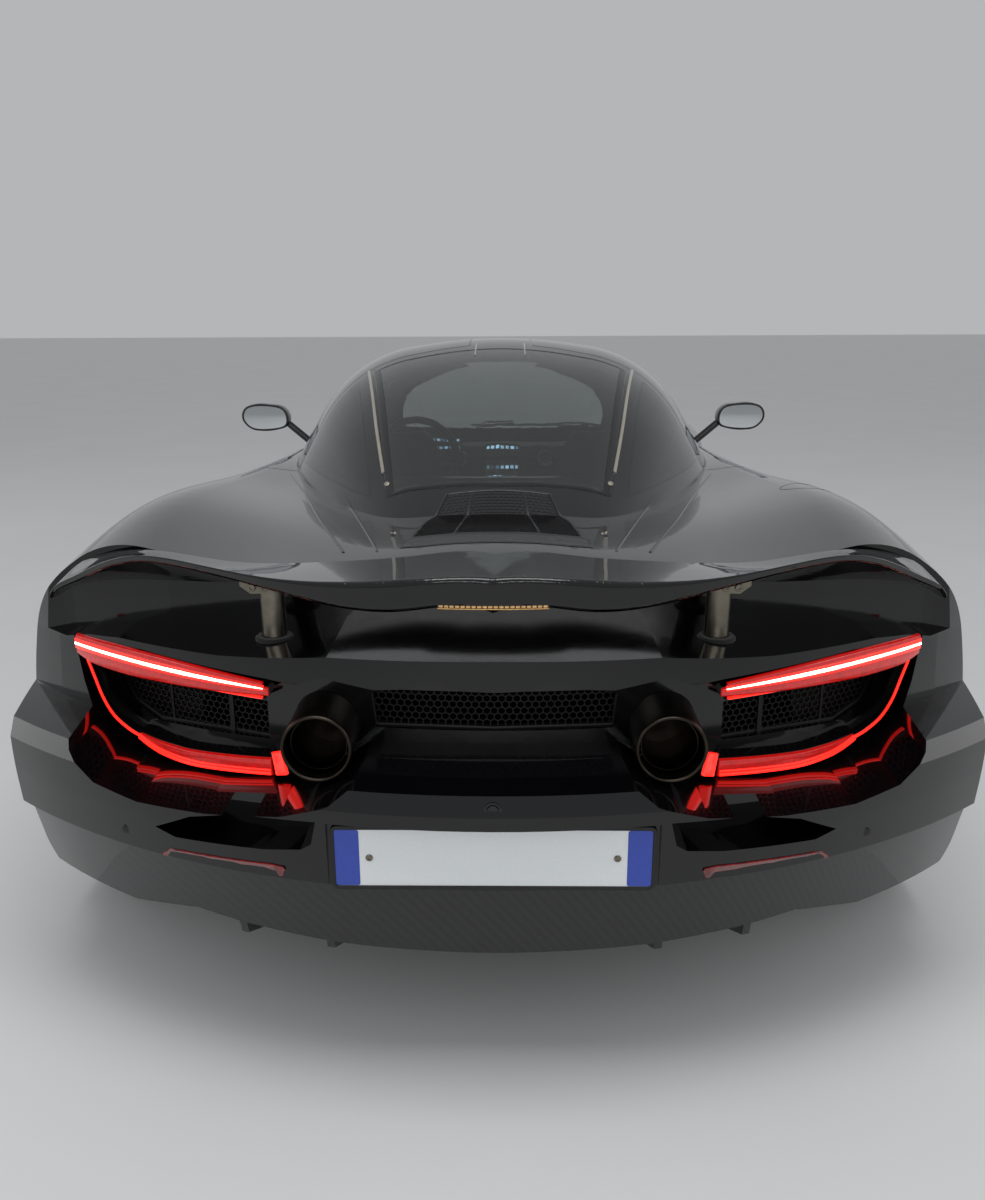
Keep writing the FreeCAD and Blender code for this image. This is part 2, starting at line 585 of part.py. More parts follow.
tail_panel = rear_shell.common(tail_zone).fuse(sleeve).cut(strut_hole)
add_node("tail_panel", both_sides(tail_panel))
rear_shell = rear_shell.cut([bumper_zone, tail_zone])
deck_mesh_zone = plan_prism(DECK_MESH_OUTLINE, 700, FAR)
hollow_floor = WING_BOTTOM[-1][1] - LIFT - WING_CLEARANCE
deck_hollow = plan_prism(DECK_HOLLOW, hollow_floor - 10, hollow_floor + 10)
add_node("rear_deck", both_sides(rear_shell.common(deck_zone).cut([deck_mesh_zone, deck_hollow])))
add_pair("rear_quarter", rear_shell.cut(deck_zone))

bonnet = body_outer.common(bonnet_zone).cut(body_inner)
bonnet = bonnet.cut(rod(bonnet_axis[0], bonnet_axis[1], PIN + FIT))
add_node("bonnet", both_sides(bonnet))

# Roof frame and fixed glass
ring = canopy_outer.cut(canopy_inner).cut(body_inner)
glass_layer = canopy_outer.cut(canopy_glass)
windscreen_zone = side_prism(WINDSCREEN_OUTLINE, 0, FAR)
rear_screen_zone = plan_prism(REAR_SCREEN_OUTLINE, 700, FAR)
quarter_glass_zone = plan_prism(QUARTER_GLASS_OUTLINE, QUARTER_GLASS_BOTTOM, FAR)
frame = ring.cut([door_opening, windscreen_zone, rear_screen_zone, quarter_glass_zone, deck_mesh_zone])
roof_frame = both_sides(frame)
add_node("roof_frame", roof_frame)
add_node("windscreen", both_sides(glass_layer.cut(body_outer).common(windscreen_zone)))
add_node("rear_screen", both_sides(glass_layer.common(rear_screen_zone)))
add_node("quarter_glass", both_sides(glass_layer.common(quarter_glass_zone)))

# Doors
door_lower = body_outer.common(door_zone).cut(door_inner).cut(canopy_outer)
door_glass_zone = side_prism(DOOR_GLASS_OUTLINE, 200, FAR)
door_ring = canopy_outer.common(door_zone).cut(canopy_inner).cut(door_glass_zone)
door_ring = door_ring.cut(door_inner.common(block(0, FAR, -FAR, FAR, 0, 700)))
door_pin = on_hinge(BEARING[0] + 4, 70, PIN)
add_pair("door", door_lower.fuse([door_ring, door_pin]))
add_pair("door_glass", glass_layer.common(door_zone).common(door_glass_zone).cut(body_outer))


# Wheels. Each is a tyre and a rim, turning on a spindle along X.


def cylinder(name, radius, height, base, direction=Vector(1, 0, 0)):
    """Part::Cylinder from its base point; radius and height are numbers or expressions."""
    item = doc.addObject("Part::Cylinder", name)
    for prop, value in (("Radius", radius), ("Height", height)):
        if isinstance(value, str):
            item.setExpression(prop, value)
        else:
            setattr(item, prop, value)
    item.Placement = Placement(base, Rotation(Vector(0, 0, 1), direction))
    return item


def boolean(kind, name, **links):
    """Part::Cut or Part::MultiFuse object."""
    item = doc.addObject(kind, name)
    for prop, value in links.items():
        setattr(item, prop, value)
    item.Label = name
    return item


SPOKES = 10
TYRE_SIDES = 64


def tyre_blank(centre, radius, half_width):
    """Solid tyre of many flats, whose shoulders are rounded by two bevels."""
    shoulder = size("tyre_shoulder")
    # radius, distance from the tyre's middle
    profile = [(radius - shoulder, half_width), (radius - 0.3 * shoulder, half_width - 0.3 * shoulder),
               (radius, half_width - shoulder)]
    rings = [(r, -x) for r, x in profile] + [(r, x) for r, x in reversed(profile)]
    angles = [2 * math.pi * k / TYRE_SIDES for k in range(TYRE_SIDES)]
    loops = [[centre + Vector(x, r * math.sin(a), -r * math.cos(a)) for a in angles] for r, x in rings]
    faces = [polygon_face(loops[0]), polygon_face(loops[-1])]
    for near, far in zip(loops, loops[1:]):
        for k in range(TYRE_SIDES):
            faces.append(polygon_face([near[k - 1], near[k], far[k], far[k - 1]]))
    return Part.makeSolid(Part.makeShell(faces))


def wheel(end, side, centre):
    """Tyre and rim of one wheel; side is 1 on the right and -1 on the left."""
    tag = "{}_{}".format(end, "right" if side > 0 else "left")
    rim_d = "Sizes.{}_rim_diameter".format(end)
    width = "Sizes.{}_tyre_width".format(end)
    out = Vector(side, 0, 0)
    half = size("{}_tyre_width".format(end)) / 2
    inner = centre - out * half
    carcass = doc.addObject("Part::Feature", "carcass_" + tag)
    carcass.Shape = tyre_blank(centre, size("{}_tyre_diameter".format(end)) / 2, half)
    bead = cylinder("bead_" + tag, rim_d + " / 2", width, inner, out)
    tyre = boolean("Part::Cut", "tyre_" + tag, Base=carcass, Tool=bead)
    NODES.append(tyre)
    barrel_in = centre - out * (half - 10)
    barrel_width = width + " - 20"
    barrel = cylinder("barrel_" + tag, rim_d + " / 2", barrel_width, barrel_in, out)
    hollow = cylinder("hollow_" + tag, rim_d + " / 2 - Sizes.rim_wall", barrel_width, barrel_in, out)
    band = boolean("Part::Cut", "band_" + tag, Base=barrel, Tool=hollow)
    hub_face = half - 30
    hub = cylinder("hub_" + tag, 82, hub_face - 18, centre + out * 18, out)
    reach = size("{}_rim_diameter".format(end)) / 2 - size("rim_wall") / 2
    pieces = [band, hub]
    for k in range(SPOKES):
        spoke = doc.addObject("Part::Wedge", "spoke_{}_{}".format(tag, k))
        # Each spoke tapers outwards from the hub and stands out to the rim's face
        for prop, value in (("Xmin", -22), ("Xmax", 22), ("X2min", -11), ("X2max", 11), ("Ymin", 60),
                            ("Ymax", reach), ("Zmin", hub_face - 34), ("Zmax", hub_face - 2),
                            ("Z2min", half - 38), ("Z2max", half - 16)):
            setattr(spoke, prop, value)
        turn = Rotation(Vector(side, 0, 0), 360 / SPOKES * k)
        upright = Rotation(Vector(0, side, 0), Vector(0, 0, 1), Vector(side, 0, 0), "YZX")
        spoke.Placement = Placement(centre, turn.multiply(upright))
        pieces.append(spoke)
    wheel_body = boolean("Part::MultiFuse", "web_" + tag, Shapes=pieces)
    bore = cylinder("bore_" + tag, "Sizes.axle_radius + Sizes.running_clearance", 400, centre - out * 100, out)
    NODES.append(boolean("Part::Cut", "rim_" + tag, Base=wheel_body, Tool=bore))


FRONT_CENTRE = Vector(FRONT_WHEEL_X, FRONT_AXLE, FRONT_HUB_Z)
REAR_CENTRE = Vector(REAR_WHEEL_X, REAR_AXLE, REAR_HUB_Z)
for hand in (1, -1):
    wheel("front", hand, Vector(hand * FRONT_WHEEL_X, FRONT_AXLE, FRONT_HUB_Z))
    wheel("rear", hand, Vector(hand * REAR_WHEEL_X, REAR_AXLE, REAR_HUB_Z))

# Steering knuckles turn on the kingpins between the front suspension's arms
KINGPIN_X = 800
FRONT_HUB_FACE = FRONT_WHEEL_X + size("front_tyre_width") / 2 - 30
KNUCKLE_RISE = 108
ARM_GAP = 6
ARM = 20
knuckle = block(KINGPIN_X - 28, KINGPIN_X + 36, FRONT_AXLE - 42, FRONT_AXLE + 42, FRONT_HUB_Z - KNUCKLE_RISE,
                FRONT_HUB_Z + KNUCKLE_RISE)
kingpin_bottom = Vector(KINGPIN_X, FRONT_AXLE, FRONT_HUB_Z - KNUCKLE_RISE - ARM_GAP - ARM)
kingpin_top = Vector(KINGPIN_X, FRONT_AXLE, FRONT_HUB_Z + KNUCKLE_RISE + ARM_GAP + ARM)
knuckle = knuckle.fuse(rod(FRONT_CENTRE, Vector(FRONT_HUB_FACE - 4, FRONT_AXLE, FRONT_HUB_Z), AXLE))
knuckle = knuckle.cut(rod(kingpin_bottom, kingpin_top, size("kingpin_radius") + FIT))
add_pair("knuckle_front", knuckle)
arm_low = FRONT_HUB_Z - KNUCKLE_RISE - ARM_GAP
arm_high = FRONT_HUB_Z + KNUCKLE_RISE + ARM_GAP
front_arms = [
    rod(kingpin_bottom, kingpin_top, size("kingpin_radius")),
    block(490, KINGPIN_X + 20, FRONT_AXLE - 40, FRONT_AXLE + 40, arm_low - ARM, arm_low),
    block(490, KINGPIN_X + 20, FRONT_AXLE - 40, FRONT_AXLE + 40, arm_high, arm_high + ARM),
    block(425, 505, FRONT_AXLE - 60, FRONT_AXLE + 60, UNDERTRAY_TOP, arm_high + ARM + 30),
]
front_suspension = front_arms[0].fuse(front_arms[1:])
add_node("front_suspension", both_sides(front_suspension).cut(undertray))

# The rear uprights are fixed between arms that reach to the gearbox
REAR_HUB_FACE = REAR_WHEEL_X + size("rear_tyre_width") / 2 - 30
GEARBOX_X = 190
rear_arms = [
    block(700, REAR_WHEEL_X - 6, REAR_AXLE - 45, REAR_AXLE + 45, REAR_HUB_Z - 120, REAR_HUB_Z + 120),
    rod(Vector(REAR_WHEEL_X - 10, REAR_AXLE, REAR_HUB_Z), Vector(REAR_HUB_FACE - 4, REAR_AXLE, REAR_HUB_Z), AXLE),
    block(GEARBOX_X, 710, REAR_AXLE - 40, REAR_AXLE + 40, REAR_HUB_Z - 120, REAR_HUB_Z - 98),
    block(GEARBOX_X, 710, REAR_AXLE - 40, REAR_AXLE + 40, REAR_HUB_Z + 98, REAR_HUB_Z + 120),
]
rear_suspension = rear_arms[0].fuse(rear_arms[1:])
add_node("rear_suspension", both_sides(rear_suspension))

# Wheel-arch liners
LINER = size("liner")


def arch_liner(well, arms):
    """Liner round a wheel well, open where the suspension's arms go through."""
    axle_y, hub_z, radius, inner_x, roof_inner_x, roof_z = well
    outside = wheel_well(axle_y, hub_z, radius + LINER, inner_x - LINER, roof_inner_x - LINER, roof_z + LINER)
    liner = outside.cut(wheel_well(*well)).common(body_inner)
    return liner.cut(arms)


front_liner = arch_liner(FRONT_WELL, block(400, 600, FRONT_AXLE - 50, FRONT_AXLE + 50, arm_low - 30, arm_high + 30))
rear_liner = arch_liner(REAR_WELL, block(500, 700, REAR_AXLE - 50, REAR_AXLE + 50, REAR_HUB_Z - 130,
                                         REAR_HUB_Z + 130))
add_node("arch_liners", both_sides(front_liner.fuse(rear_liner)))

# Door hinge bearings on the tub's front corners
bearing = on_hinge(BEARING[0], BEARING[1], 14)
post = block(700, 790, FRONT_AXLE - 425, FRONT_AXLE - 385, 370, 620)
brace = rod(Vector(770, FRONT_AXLE - 402, 606), HINGE_LOW + hinge_line * (BEARING[0] + 12), 10)
bearing = bearing.fuse([post, brace]).cut(on_hinge(-200, 100, PIN + FIT))
add_node("door_hinges", both_sides(bearing))

# Cabin
CABIN_FRONT = FRONT_AXLE - 400
CABIN_REAR = REAR_AXLE + 840
SEAT_FLOOR = UNDERTRAY_TOP + 24
tub_parts = [
    block(-640, 640, CABIN_REAR, CABIN_FRONT, UNDERTRAY_TOP, SEAT_FLOOR),
    block(-105, 105, CABIN_REAR, CABIN_FRONT - 260, SEAT_FLOOR, 400),
    block(-500, 500, CABIN_FRONT - 22, CABIN_FRONT, UNDERTRAY_TOP, 600),
    block(-600, 600, CABIN_REAR, CABIN_REAR + 30, UNDERTRAY_TOP, 790),
]
for hand in (1, -1):
    x_from, x_to = sorted((hand * 640, hand * 806))
    tub_parts.append(block(x_from, x_to, CABIN_REAR + 150, CABIN_FRONT, UNDERTRAY_TOP, 370))
tub = tub_parts[0].fuse(tub_parts[1:])
add_node("tub", tub.cut([undertray, roof_frame]))


def seat(x):
    """One bucket seat on the cabin floor."""
    y = CABIN_REAR + 60
    profile = [(y + 560, SEAT_FLOOR), (y + 600, SEAT_FLOOR + 190), (y + 250, SEAT_FLOOR + 150),
               (y + 190, SEAT_FLOOR + 210), (y + 20, 880), (y + 10, 930), (y - 20, 935), (y - 20, 860),
               (y + 90, SEAT_FLOOR)]
    body = side_prism(profile, x - 225, x + 225, 0.1)
    for tilt, at in ((12, x + 225), (-12, x - 225)):
        shoulder = block(-200, 200, y - 200, y + 200, 0, 600)
        shoulder.translate(Vector(200 if tilt > 0 else -200, 0, 0))
        shoulder.rotate(Vector(0, 0, 0), Vector(0, 1, 0), -tilt)
        shoulder.translate(Vector(at, 0, SEAT_FLOOR + 330))
        body = body.cut(shoulder)
    hollow = side_prism([(y + 700, SEAT_FLOOR + 110), (y + 290, SEAT_FLOOR + 90), (y + 215, SEAT_FLOOR + 150),
                         (y + 50, 900), (y + 60, 1200), (y + 700, 1200)], x - 165, x + 165)
    return body.cut(hollow)


add_node("seats", seat(335).fuse(seat(-335)))
DASH_FRONT = CABIN_FRONT - 22
dash = side_prism([(DASH_FRONT, 500), (DASH_FRONT, 660), (DASH_FRONT - 120, 735), (DASH_FRONT - 300, 740),
                   (DASH_FRONT - 330, 690), (DASH_FRONT - 250, 520)], -560, 560, 0.1)
console = block(-90, 90, CABIN_REAR + 500, DASH_FRONT - 270, 400, 520)
console = console.fuse(block(-90, 90, DASH_FRONT - 290, DASH_FRONT, 400, 560))
add_node("dashboard", dash.fuse(console))
WHEEL_AT = Vector(-350, DASH_FRONT - 430, 700)
column_axis = Vector(0, -1, 0.35)
column_axis.normalize()
wheel_ring = Part.makeTorus(168, 15, WHEEL_AT, column_axis)
wheel_hub = Part.makeCylinder(55, 40, WHEEL_AT - column_axis * 20, column_axis)
column = Part.makeCylinder(28, 150, WHEEL_AT - column_axis * 160, column_axis)
steering = wheel_ring.fuse([wheel_hub, column])
for angle in (0, 180, 270):
    turn = Rotation(Vector(0, 0, 1), column_axis)
    spoke_bar = Part.makeBox(120, 36, 16, Vector(45, -18, -8))
    spoke_bar.rotate(Vector(0, 0, 0), Vector(0, 0, 1), angle)
    spoke_bar.Placement = Placement(WHEEL_AT, turn).multiply(spoke_bar.Placement)
    steering = steering.fuse(spoke_bar)
add_node("steering_wheel", steering.cut(dash))

# Engine, gearbox, luggage bin
engine = block(-290, 290, CABIN_REAR - 560, CABIN_REAR, UNDERTRAY_TOP, 640)
add_node("engine", engine.cut(undertray))
add_node("gearbox", block(-GEARBOX_X, GEARBOX_X, REAR_AXLE - 330, CABIN_REAR - 560, 190, 500))
bin_outer = block(-380, 380, FRONT_AXLE - 150, FRONT_AXLE + 480, UNDERTRAY_TOP, 540)
bin_inner = block(-372, 372, FRONT_AXLE - 142, FRONT_AXLE + 472, UNDERTRAY_TOP + 60, 600)
add_node("luggage_bin", bin_outer.cut([bin_inner, undertray]))

# Exhausts: a silencer on the gearbox and two tips through the tail
tip_radius = size("exhaust_radius")
tip_end = TAIL + 118
silencer = block(-340, 340, REAR_AXLE - 450, REAR_AXLE - 332, 450, 665)
silencer = silencer.fuse(block(-150, 150, REAR_AXLE - 380, REAR_AXLE - 330, 400, 500))
for hand in (1, -1):
    start = Vector(hand * EXHAUST_X, REAR_AXLE - 440, EXHAUST_Z)
    end = Vector(hand * EXHAUST_X, tip_end, EXHAUST_Z)
    silencer = silencer.fuse(rod(start, end, tip_radius - 0.5))
    silencer = silencer.cut(rod(end + Vector(0, 150, 0), end - Vector(0, 10, 0), tip_radius - 6))
add_node("exhausts", silencer)

# Lamps. Each tail lamp is a loop of light guides that stand up from the pocket's floor.


def strip(path, half_width):
    """Outline of a band along an open (x, z) path."""
    sides = ([], [])
    for i, (x, z) in enumerate(path):
        x1, z1 = path[max(i - 1, 0)]
        x2, z2 = path[min(i + 1, len(path) - 1)]
        length = math.hypot(x2 - x1, z2 - z1)
        for side, sign in zip(sides, (1, -1)):
            side.append((x - sign * half_width * (z2 - z1) / length, z + sign * half_width * (x2 - x1) / length))
    return sides[0] + sides[1][::-1]


# How far the light guide's face lies inside the tail's radius, half its width, its (x, z) path
LIGHT_GUIDES = [
    (128, 9, [(390, 674), (514, 684), (640, 690), (794, 688)]),
    (140, 4, [(793, 690), (770, 655), (756, 594), (724, 547), (672, 526)]),
    (132, 7, [(650, 532), (598, 515), (534, 511), (392, 522)]),
    (118, 13, [(371, 584), (371, 524)]),
]
# (x, z), seen from behind
REFLECTOR_OUTLINE = [(340, 424), (552, 415), (570, 400), (548, 388), (362, 392), (350, 404)]


def tail_layer(outer, inner, outline):
    """Round plate of the tail between two insets, within an outline."""
    layer = Part.makeCylinder(TAIL_RADIUS - outer, FAR, Vector(0, TAIL_AXIS, 0))
    layer = layer.cut(Part.makeCylinder(TAIL_RADIUS - inner, FAR, Vector(0, TAIL_AXIS, 0)))
    return layer.common(rear_prism(outline, -FAR, TAIL_AXIS))


guides = [tail_layer(face, TAIL_POCKET_INSET, strip(path, half)) for face, half, path in LIGHT_GUIDES]
lamps = guides[0].fuse(guides[1:])
reflector = tail_shape(-3).cut(tail_shape()).common(rear_prism(REFLECTOR_OUTLINE, -FAR, TAIL_AXIS))
add_node("tail_lamps", both_sides(lamps.fuse(reflector)))

# Headlamps: a bezel on the socket's floor with two lenses
BEZEL = 14
bezel = plan_prism(grown(HEADLAMP_OUTLINE, -14), 0, FAR).common(above_floor(0)).cut(above_floor(BEZEL))
(floor_y1, floor_z1), (floor_y2, floor_z2) = HEADLAMP_FLOOR
floor_slope = (floor_z2 - floor_z1) / (floor_y2 - floor_y1)
lenses = []
# Place of a lens and its radius
for x, y, radius in ((640, NOSE - 290, 30), (728, NOSE - 372, 30), (796, NOSE - 480, 24)):
    foot = Vector(x, y, floor_z1 + (y - floor_y1) * floor_slope)
    lenses.append(rod(foot - Vector(0, 0, radius), foot + Vector(0, 0, BEZEL + 26), radius).common(above_floor(0)))
add_node("headlamps", both_sides(bezel.fuse(lenses)))

# Grilles: plates in the tail's outlets, the front intakes and the engine cover
outlet_plates = [tail_layer(TAIL_POCKET_INSET + SKIN - 6, TAIL_POCKET_INSET + SKIN, outline)
                 for outline in (SIDE_OUTLET, CENTRE_OUTLET)]
nose_layer = nose_shape(SKIN - 6).cut(nose_shape(SKIN))
intake_plates = [nose_layer.common(intake) for intake in intakes]
lowered = body_outer.copy()
lowered.translate(Vector(0, 0, -6))
deck_mesh = body_outer.common(deck_mesh_zone).cut(lowered)
plates = outlet_plates + intake_plates + [deck_mesh]
add_node("grilles", both_sides(plates[0].fuse(plates[1:])))
plate = doc.addObject("Part::Box", "number_plate")
plate.setExpression("Length", "Sizes.plate_width")
plate.setExpression("Width", "Sizes.plate_thickness")
plate.setExpression("Height", "Sizes.plate_height")
plate.Placement.Base = Vector(-size("plate_width") / 2, PLATE_FLOOR - size("plate_thickness"),
                              PLATE_Z - size("plate_height") / 2)
NODES.append(plate)

# Rear wing on its two struts
wing_wires = []
for x, (lip_y, lip_z), bottom_z, (front_y, front_bottom, front_top) in WING_SECTIONS:
    corners = [(lip_y, lip_z), (lip_y + 8, bottom_z), (front_y, front_bottom), (front_y, front_top)]
    corners = [Vector(x, y, z) for y, z in corners]
    wing_wires.append(rounded_wire(corners, WING_ROUNDING))
wing_half = Part.makeLoft(wing_wires, True, False).common(RIGHT_HALF)
BRAKE_LAMP = (90, 835, 845)
brake_slot = block(-1, BRAKE_LAMP[0], -FAR, WING_SECTIONS[0][1][0] + 16, BRAKE_LAMP[1], BRAKE_LAMP[2])
STRUT_BOTTOM = 560
strut = rod(Vector(STRUT_X, STRUT_Y, STRUT_BOTTOM), Vector(STRUT_X, STRUT_Y, 850), size("strut_radius"))
bracket_bottom = size("wing_bracket_bottom")
bracket = rear_prism([(STRUT_X + BRACKET_REACH[0], 850), (STRUT_X + BRACKET_REACH[0], bracket_bottom),
                      (STRUT_X + 34, bracket_bottom), (STRUT_X + BRACKET_REACH[1], 830),
                      (STRUT_X + BRACKET_REACH[1], 850)], STRUT_Y - 18, STRUT_Y + 18)
add_node("wing", both_sides(wing_half.cut(brake_slot)))
add_node("wing_struts", both_sides(strut.fuse(bracket).cut(wing_half)))
add_node("brake_lamp", both_sides(wing_half.common(brake_slot)))

# Door mirrors
MIRROR_OUT = size("mirror_span") / 2
# The housing's outline at its glass, (x, z), and how much of it is left at each place forwards of that
MIRROR_OUTLINE = [(MIRROR_OUT - 196, 818), (MIRROR_OUT - 120, 800), (MIRROR_OUT - 40, 806), (MIRROR_OUT, 850),
                  (MIRROR_OUT - 12, 900), (MIRROR_OUT - 70, 918), (MIRROR_OUT - 170, 908), (MIRROR_OUT - 203, 872)]
MIRROR_MIDDLE = (MIRROR_OUT - 108, 860)
mirror_wires = []
for y, share in ((-706, 0.97), (-690, 1), (-640, 0.97), (-600, 0.84), (-570, 0.56), (-560, 0.3)):
    corners = [Vector(MIRROR_MIDDLE[0] + (x - MIRROR_MIDDLE[0]) * share, FRONT_AXLE + y,
                      MIRROR_MIDDLE[1] + (z - MIRROR_MIDDLE[1]) * share) for x, z in MIRROR_OUTLINE]
    mirror_wires.append(rounded_wire(corners, [0.48] * len(corners)))
housing = Part.makeLoft(mirror_wires, True, False)
stalk = rod(Vector(800, FRONT_AXLE - 640, 745), Vector(MIRROR_OUT - 160, FRONT_AXLE - 645, 850), 14)
add_pair("mirror", housing.fuse(stalk).cut(body_outer))

os.makedirs("parts", exist_ok=True)
doc.recompute()
for item in doc.Objects:
    if "Invalid" in item.State or "Error" in item.State:
        raise ValueError("{} is {}".format(item.Label, item.State))
for node in NODES:
    if node.Shape.isNull() or not node.Shape.isValid():
        raise ValueError(node.Label + " has no valid shape")
    print(node.Label, len(node.Shape.Solids), round(node.Shape.Volume / 1e6, 1))
    node.Shape.exportStep(os.path.join("parts", node.Label + ".step"))
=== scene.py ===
import bmesh
import bpy
import math
from mathutils import Matrix, Vector
from mathutils.bvhtree import BVHTree


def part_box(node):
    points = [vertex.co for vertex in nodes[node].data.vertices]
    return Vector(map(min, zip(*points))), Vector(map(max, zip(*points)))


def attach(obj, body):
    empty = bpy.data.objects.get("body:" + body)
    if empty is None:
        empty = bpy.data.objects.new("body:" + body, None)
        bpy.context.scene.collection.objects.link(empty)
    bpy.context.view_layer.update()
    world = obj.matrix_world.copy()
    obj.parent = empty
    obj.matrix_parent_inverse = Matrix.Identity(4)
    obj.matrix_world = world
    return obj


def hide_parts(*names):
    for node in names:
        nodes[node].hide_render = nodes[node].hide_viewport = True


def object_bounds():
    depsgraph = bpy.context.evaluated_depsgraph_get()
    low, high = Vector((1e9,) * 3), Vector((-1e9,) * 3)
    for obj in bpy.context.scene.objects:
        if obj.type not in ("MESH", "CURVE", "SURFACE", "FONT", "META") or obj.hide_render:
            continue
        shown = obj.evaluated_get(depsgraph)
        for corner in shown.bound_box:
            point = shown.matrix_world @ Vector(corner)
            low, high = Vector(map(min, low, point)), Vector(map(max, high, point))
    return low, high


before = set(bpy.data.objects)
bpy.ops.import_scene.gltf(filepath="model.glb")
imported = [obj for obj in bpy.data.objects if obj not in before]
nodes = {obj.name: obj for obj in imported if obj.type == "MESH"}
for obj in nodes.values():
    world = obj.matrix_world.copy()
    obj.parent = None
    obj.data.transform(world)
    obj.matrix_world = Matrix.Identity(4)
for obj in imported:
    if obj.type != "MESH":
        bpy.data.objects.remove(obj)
cad_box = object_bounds()

# Driving dimensions, in millimetres
MM = 0.001
NOSE = cad_box[1][1] / MM
TAIL = cad_box[0][1] / MM
FRONT_OVERHANG = 1050
WHEELBASE = 2670
FRONT_AXLE = NOSE - FRONT_OVERHANG
REAR_AXLE = FRONT_AXLE - WHEELBASE
# Seen from above the tail is part of a circle, and its pocket's floor lies this far in from that
TAIL_RADIUS = 1471
TAIL_AXIS = TAIL + TAIL_RADIUS
POCKET_INSET = 190
MIRROR_SPAN = 2161
SIDES = (("right", 1), ("left", -1))

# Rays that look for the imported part's surface start clear of it, over the roof and over the deck
ABOVE, DECK_ABOVE = 1400, 1300
BEHIND = TAIL - 60
DOWN, FORWARDS, REARWARDS = (0, 0, -1), (0, 1, 0), (0, -1, 0)

# Materials


def linear(code):
    """A hex sRGB colour as linear RGBA."""
    channels = [int(code[i:i + 2], 16) / 255 for i in (1, 3, 5)]
    curve = [c / 12.92 if c <= 0.04045 else ((c + 0.055) / 1.055) ** 2.4 for c in channels]
    return (*curve, 1.0)


def per_metre(pitch_mm):
    """Texture scale at which one feature is pitch_mm across."""
    return 1.0 / (pitch_mm * MM)


def new_tree(name):
    """Empty material and its node tree."""
    material = bpy.data.materials.new(name)
    material.use_nodes = True
    material.node_tree.nodes.clear()
    return material, material.node_tree


def add_node(tree, kind, values=None, links=None, **settings):
    """Adds a node: settings are its properties, values fill inputs, links feed inputs from other outputs."""
    node = tree.nodes.new(kind)
    for name, value in settings.items():
        setattr(node, name, value)
    for name, value in (values or {}).items():
        node.inputs[name].default_value = value
    for name, source in (links or {}).items():
        tree.links.new(source, node.inputs[name])
    return node


# Mix node sockets, by place: factor, first and second colour in, colour out
FACTOR, FIRST, SECOND, MIXED = 0, 6, 7, 2


def black_lacquer():
    """Body paint: solid black base coat under polished two-pack clear. The clear mirrors the light as one
    sheet with a faint orange peel 6 mm across; the base under it only lifts the black a little."""
    material, tree = new_tree("black_lacquer_polished_clear")
    place = add_node(tree, "ShaderNodeTexCoord").outputs["Object"]
    haze = add_node(tree, "ShaderNodeTexNoise", {"Scale": per_metre(320), "Detail": 3.0}, {"Vector": place})
    flake = add_node(tree, "ShaderNodeTexVoronoi", {"Scale": per_metre(1.5)}, {"Vector": place})
    base = add_node(tree, "ShaderNodeMix", {FIRST: linear("#020203"), SECOND: linear("#070709")},
                    {FACTOR: flake.outputs["Color"]}, data_type="RGBA")
    wiped = add_node(tree, "ShaderNodeMapRange", {"To Min": 0.24, "To Max": 0.36}, {"Value": haze.outputs[0]})
    peel = add_node(tree, "ShaderNodeTexNoise", {"Scale": per_metre(6), "Detail": 1.0}, {"Vector": place})
    ripple = add_node(tree, "ShaderNodeBump", {"Strength": 0.5, "Distance": 0.008 * MM},
                      {"Height": peel.outputs[0]})
    shader = add_node(tree, "ShaderNodeBsdfPrincipled",
                      {"IOR": 1.5, "Specular IOR Level": 0.03, "Coat Weight": 1.0, "Coat Roughness": 0.03,
                       "Coat IOR": 1.5},
                      {"Base Color": base.outputs[MIXED], "Roughness": wiped.outputs[0],
                       "Coat Normal": ripple.outputs[0]})
    add_node(tree, "ShaderNodeOutputMaterial", links={"Surface": shader.outputs[0]})
    return material


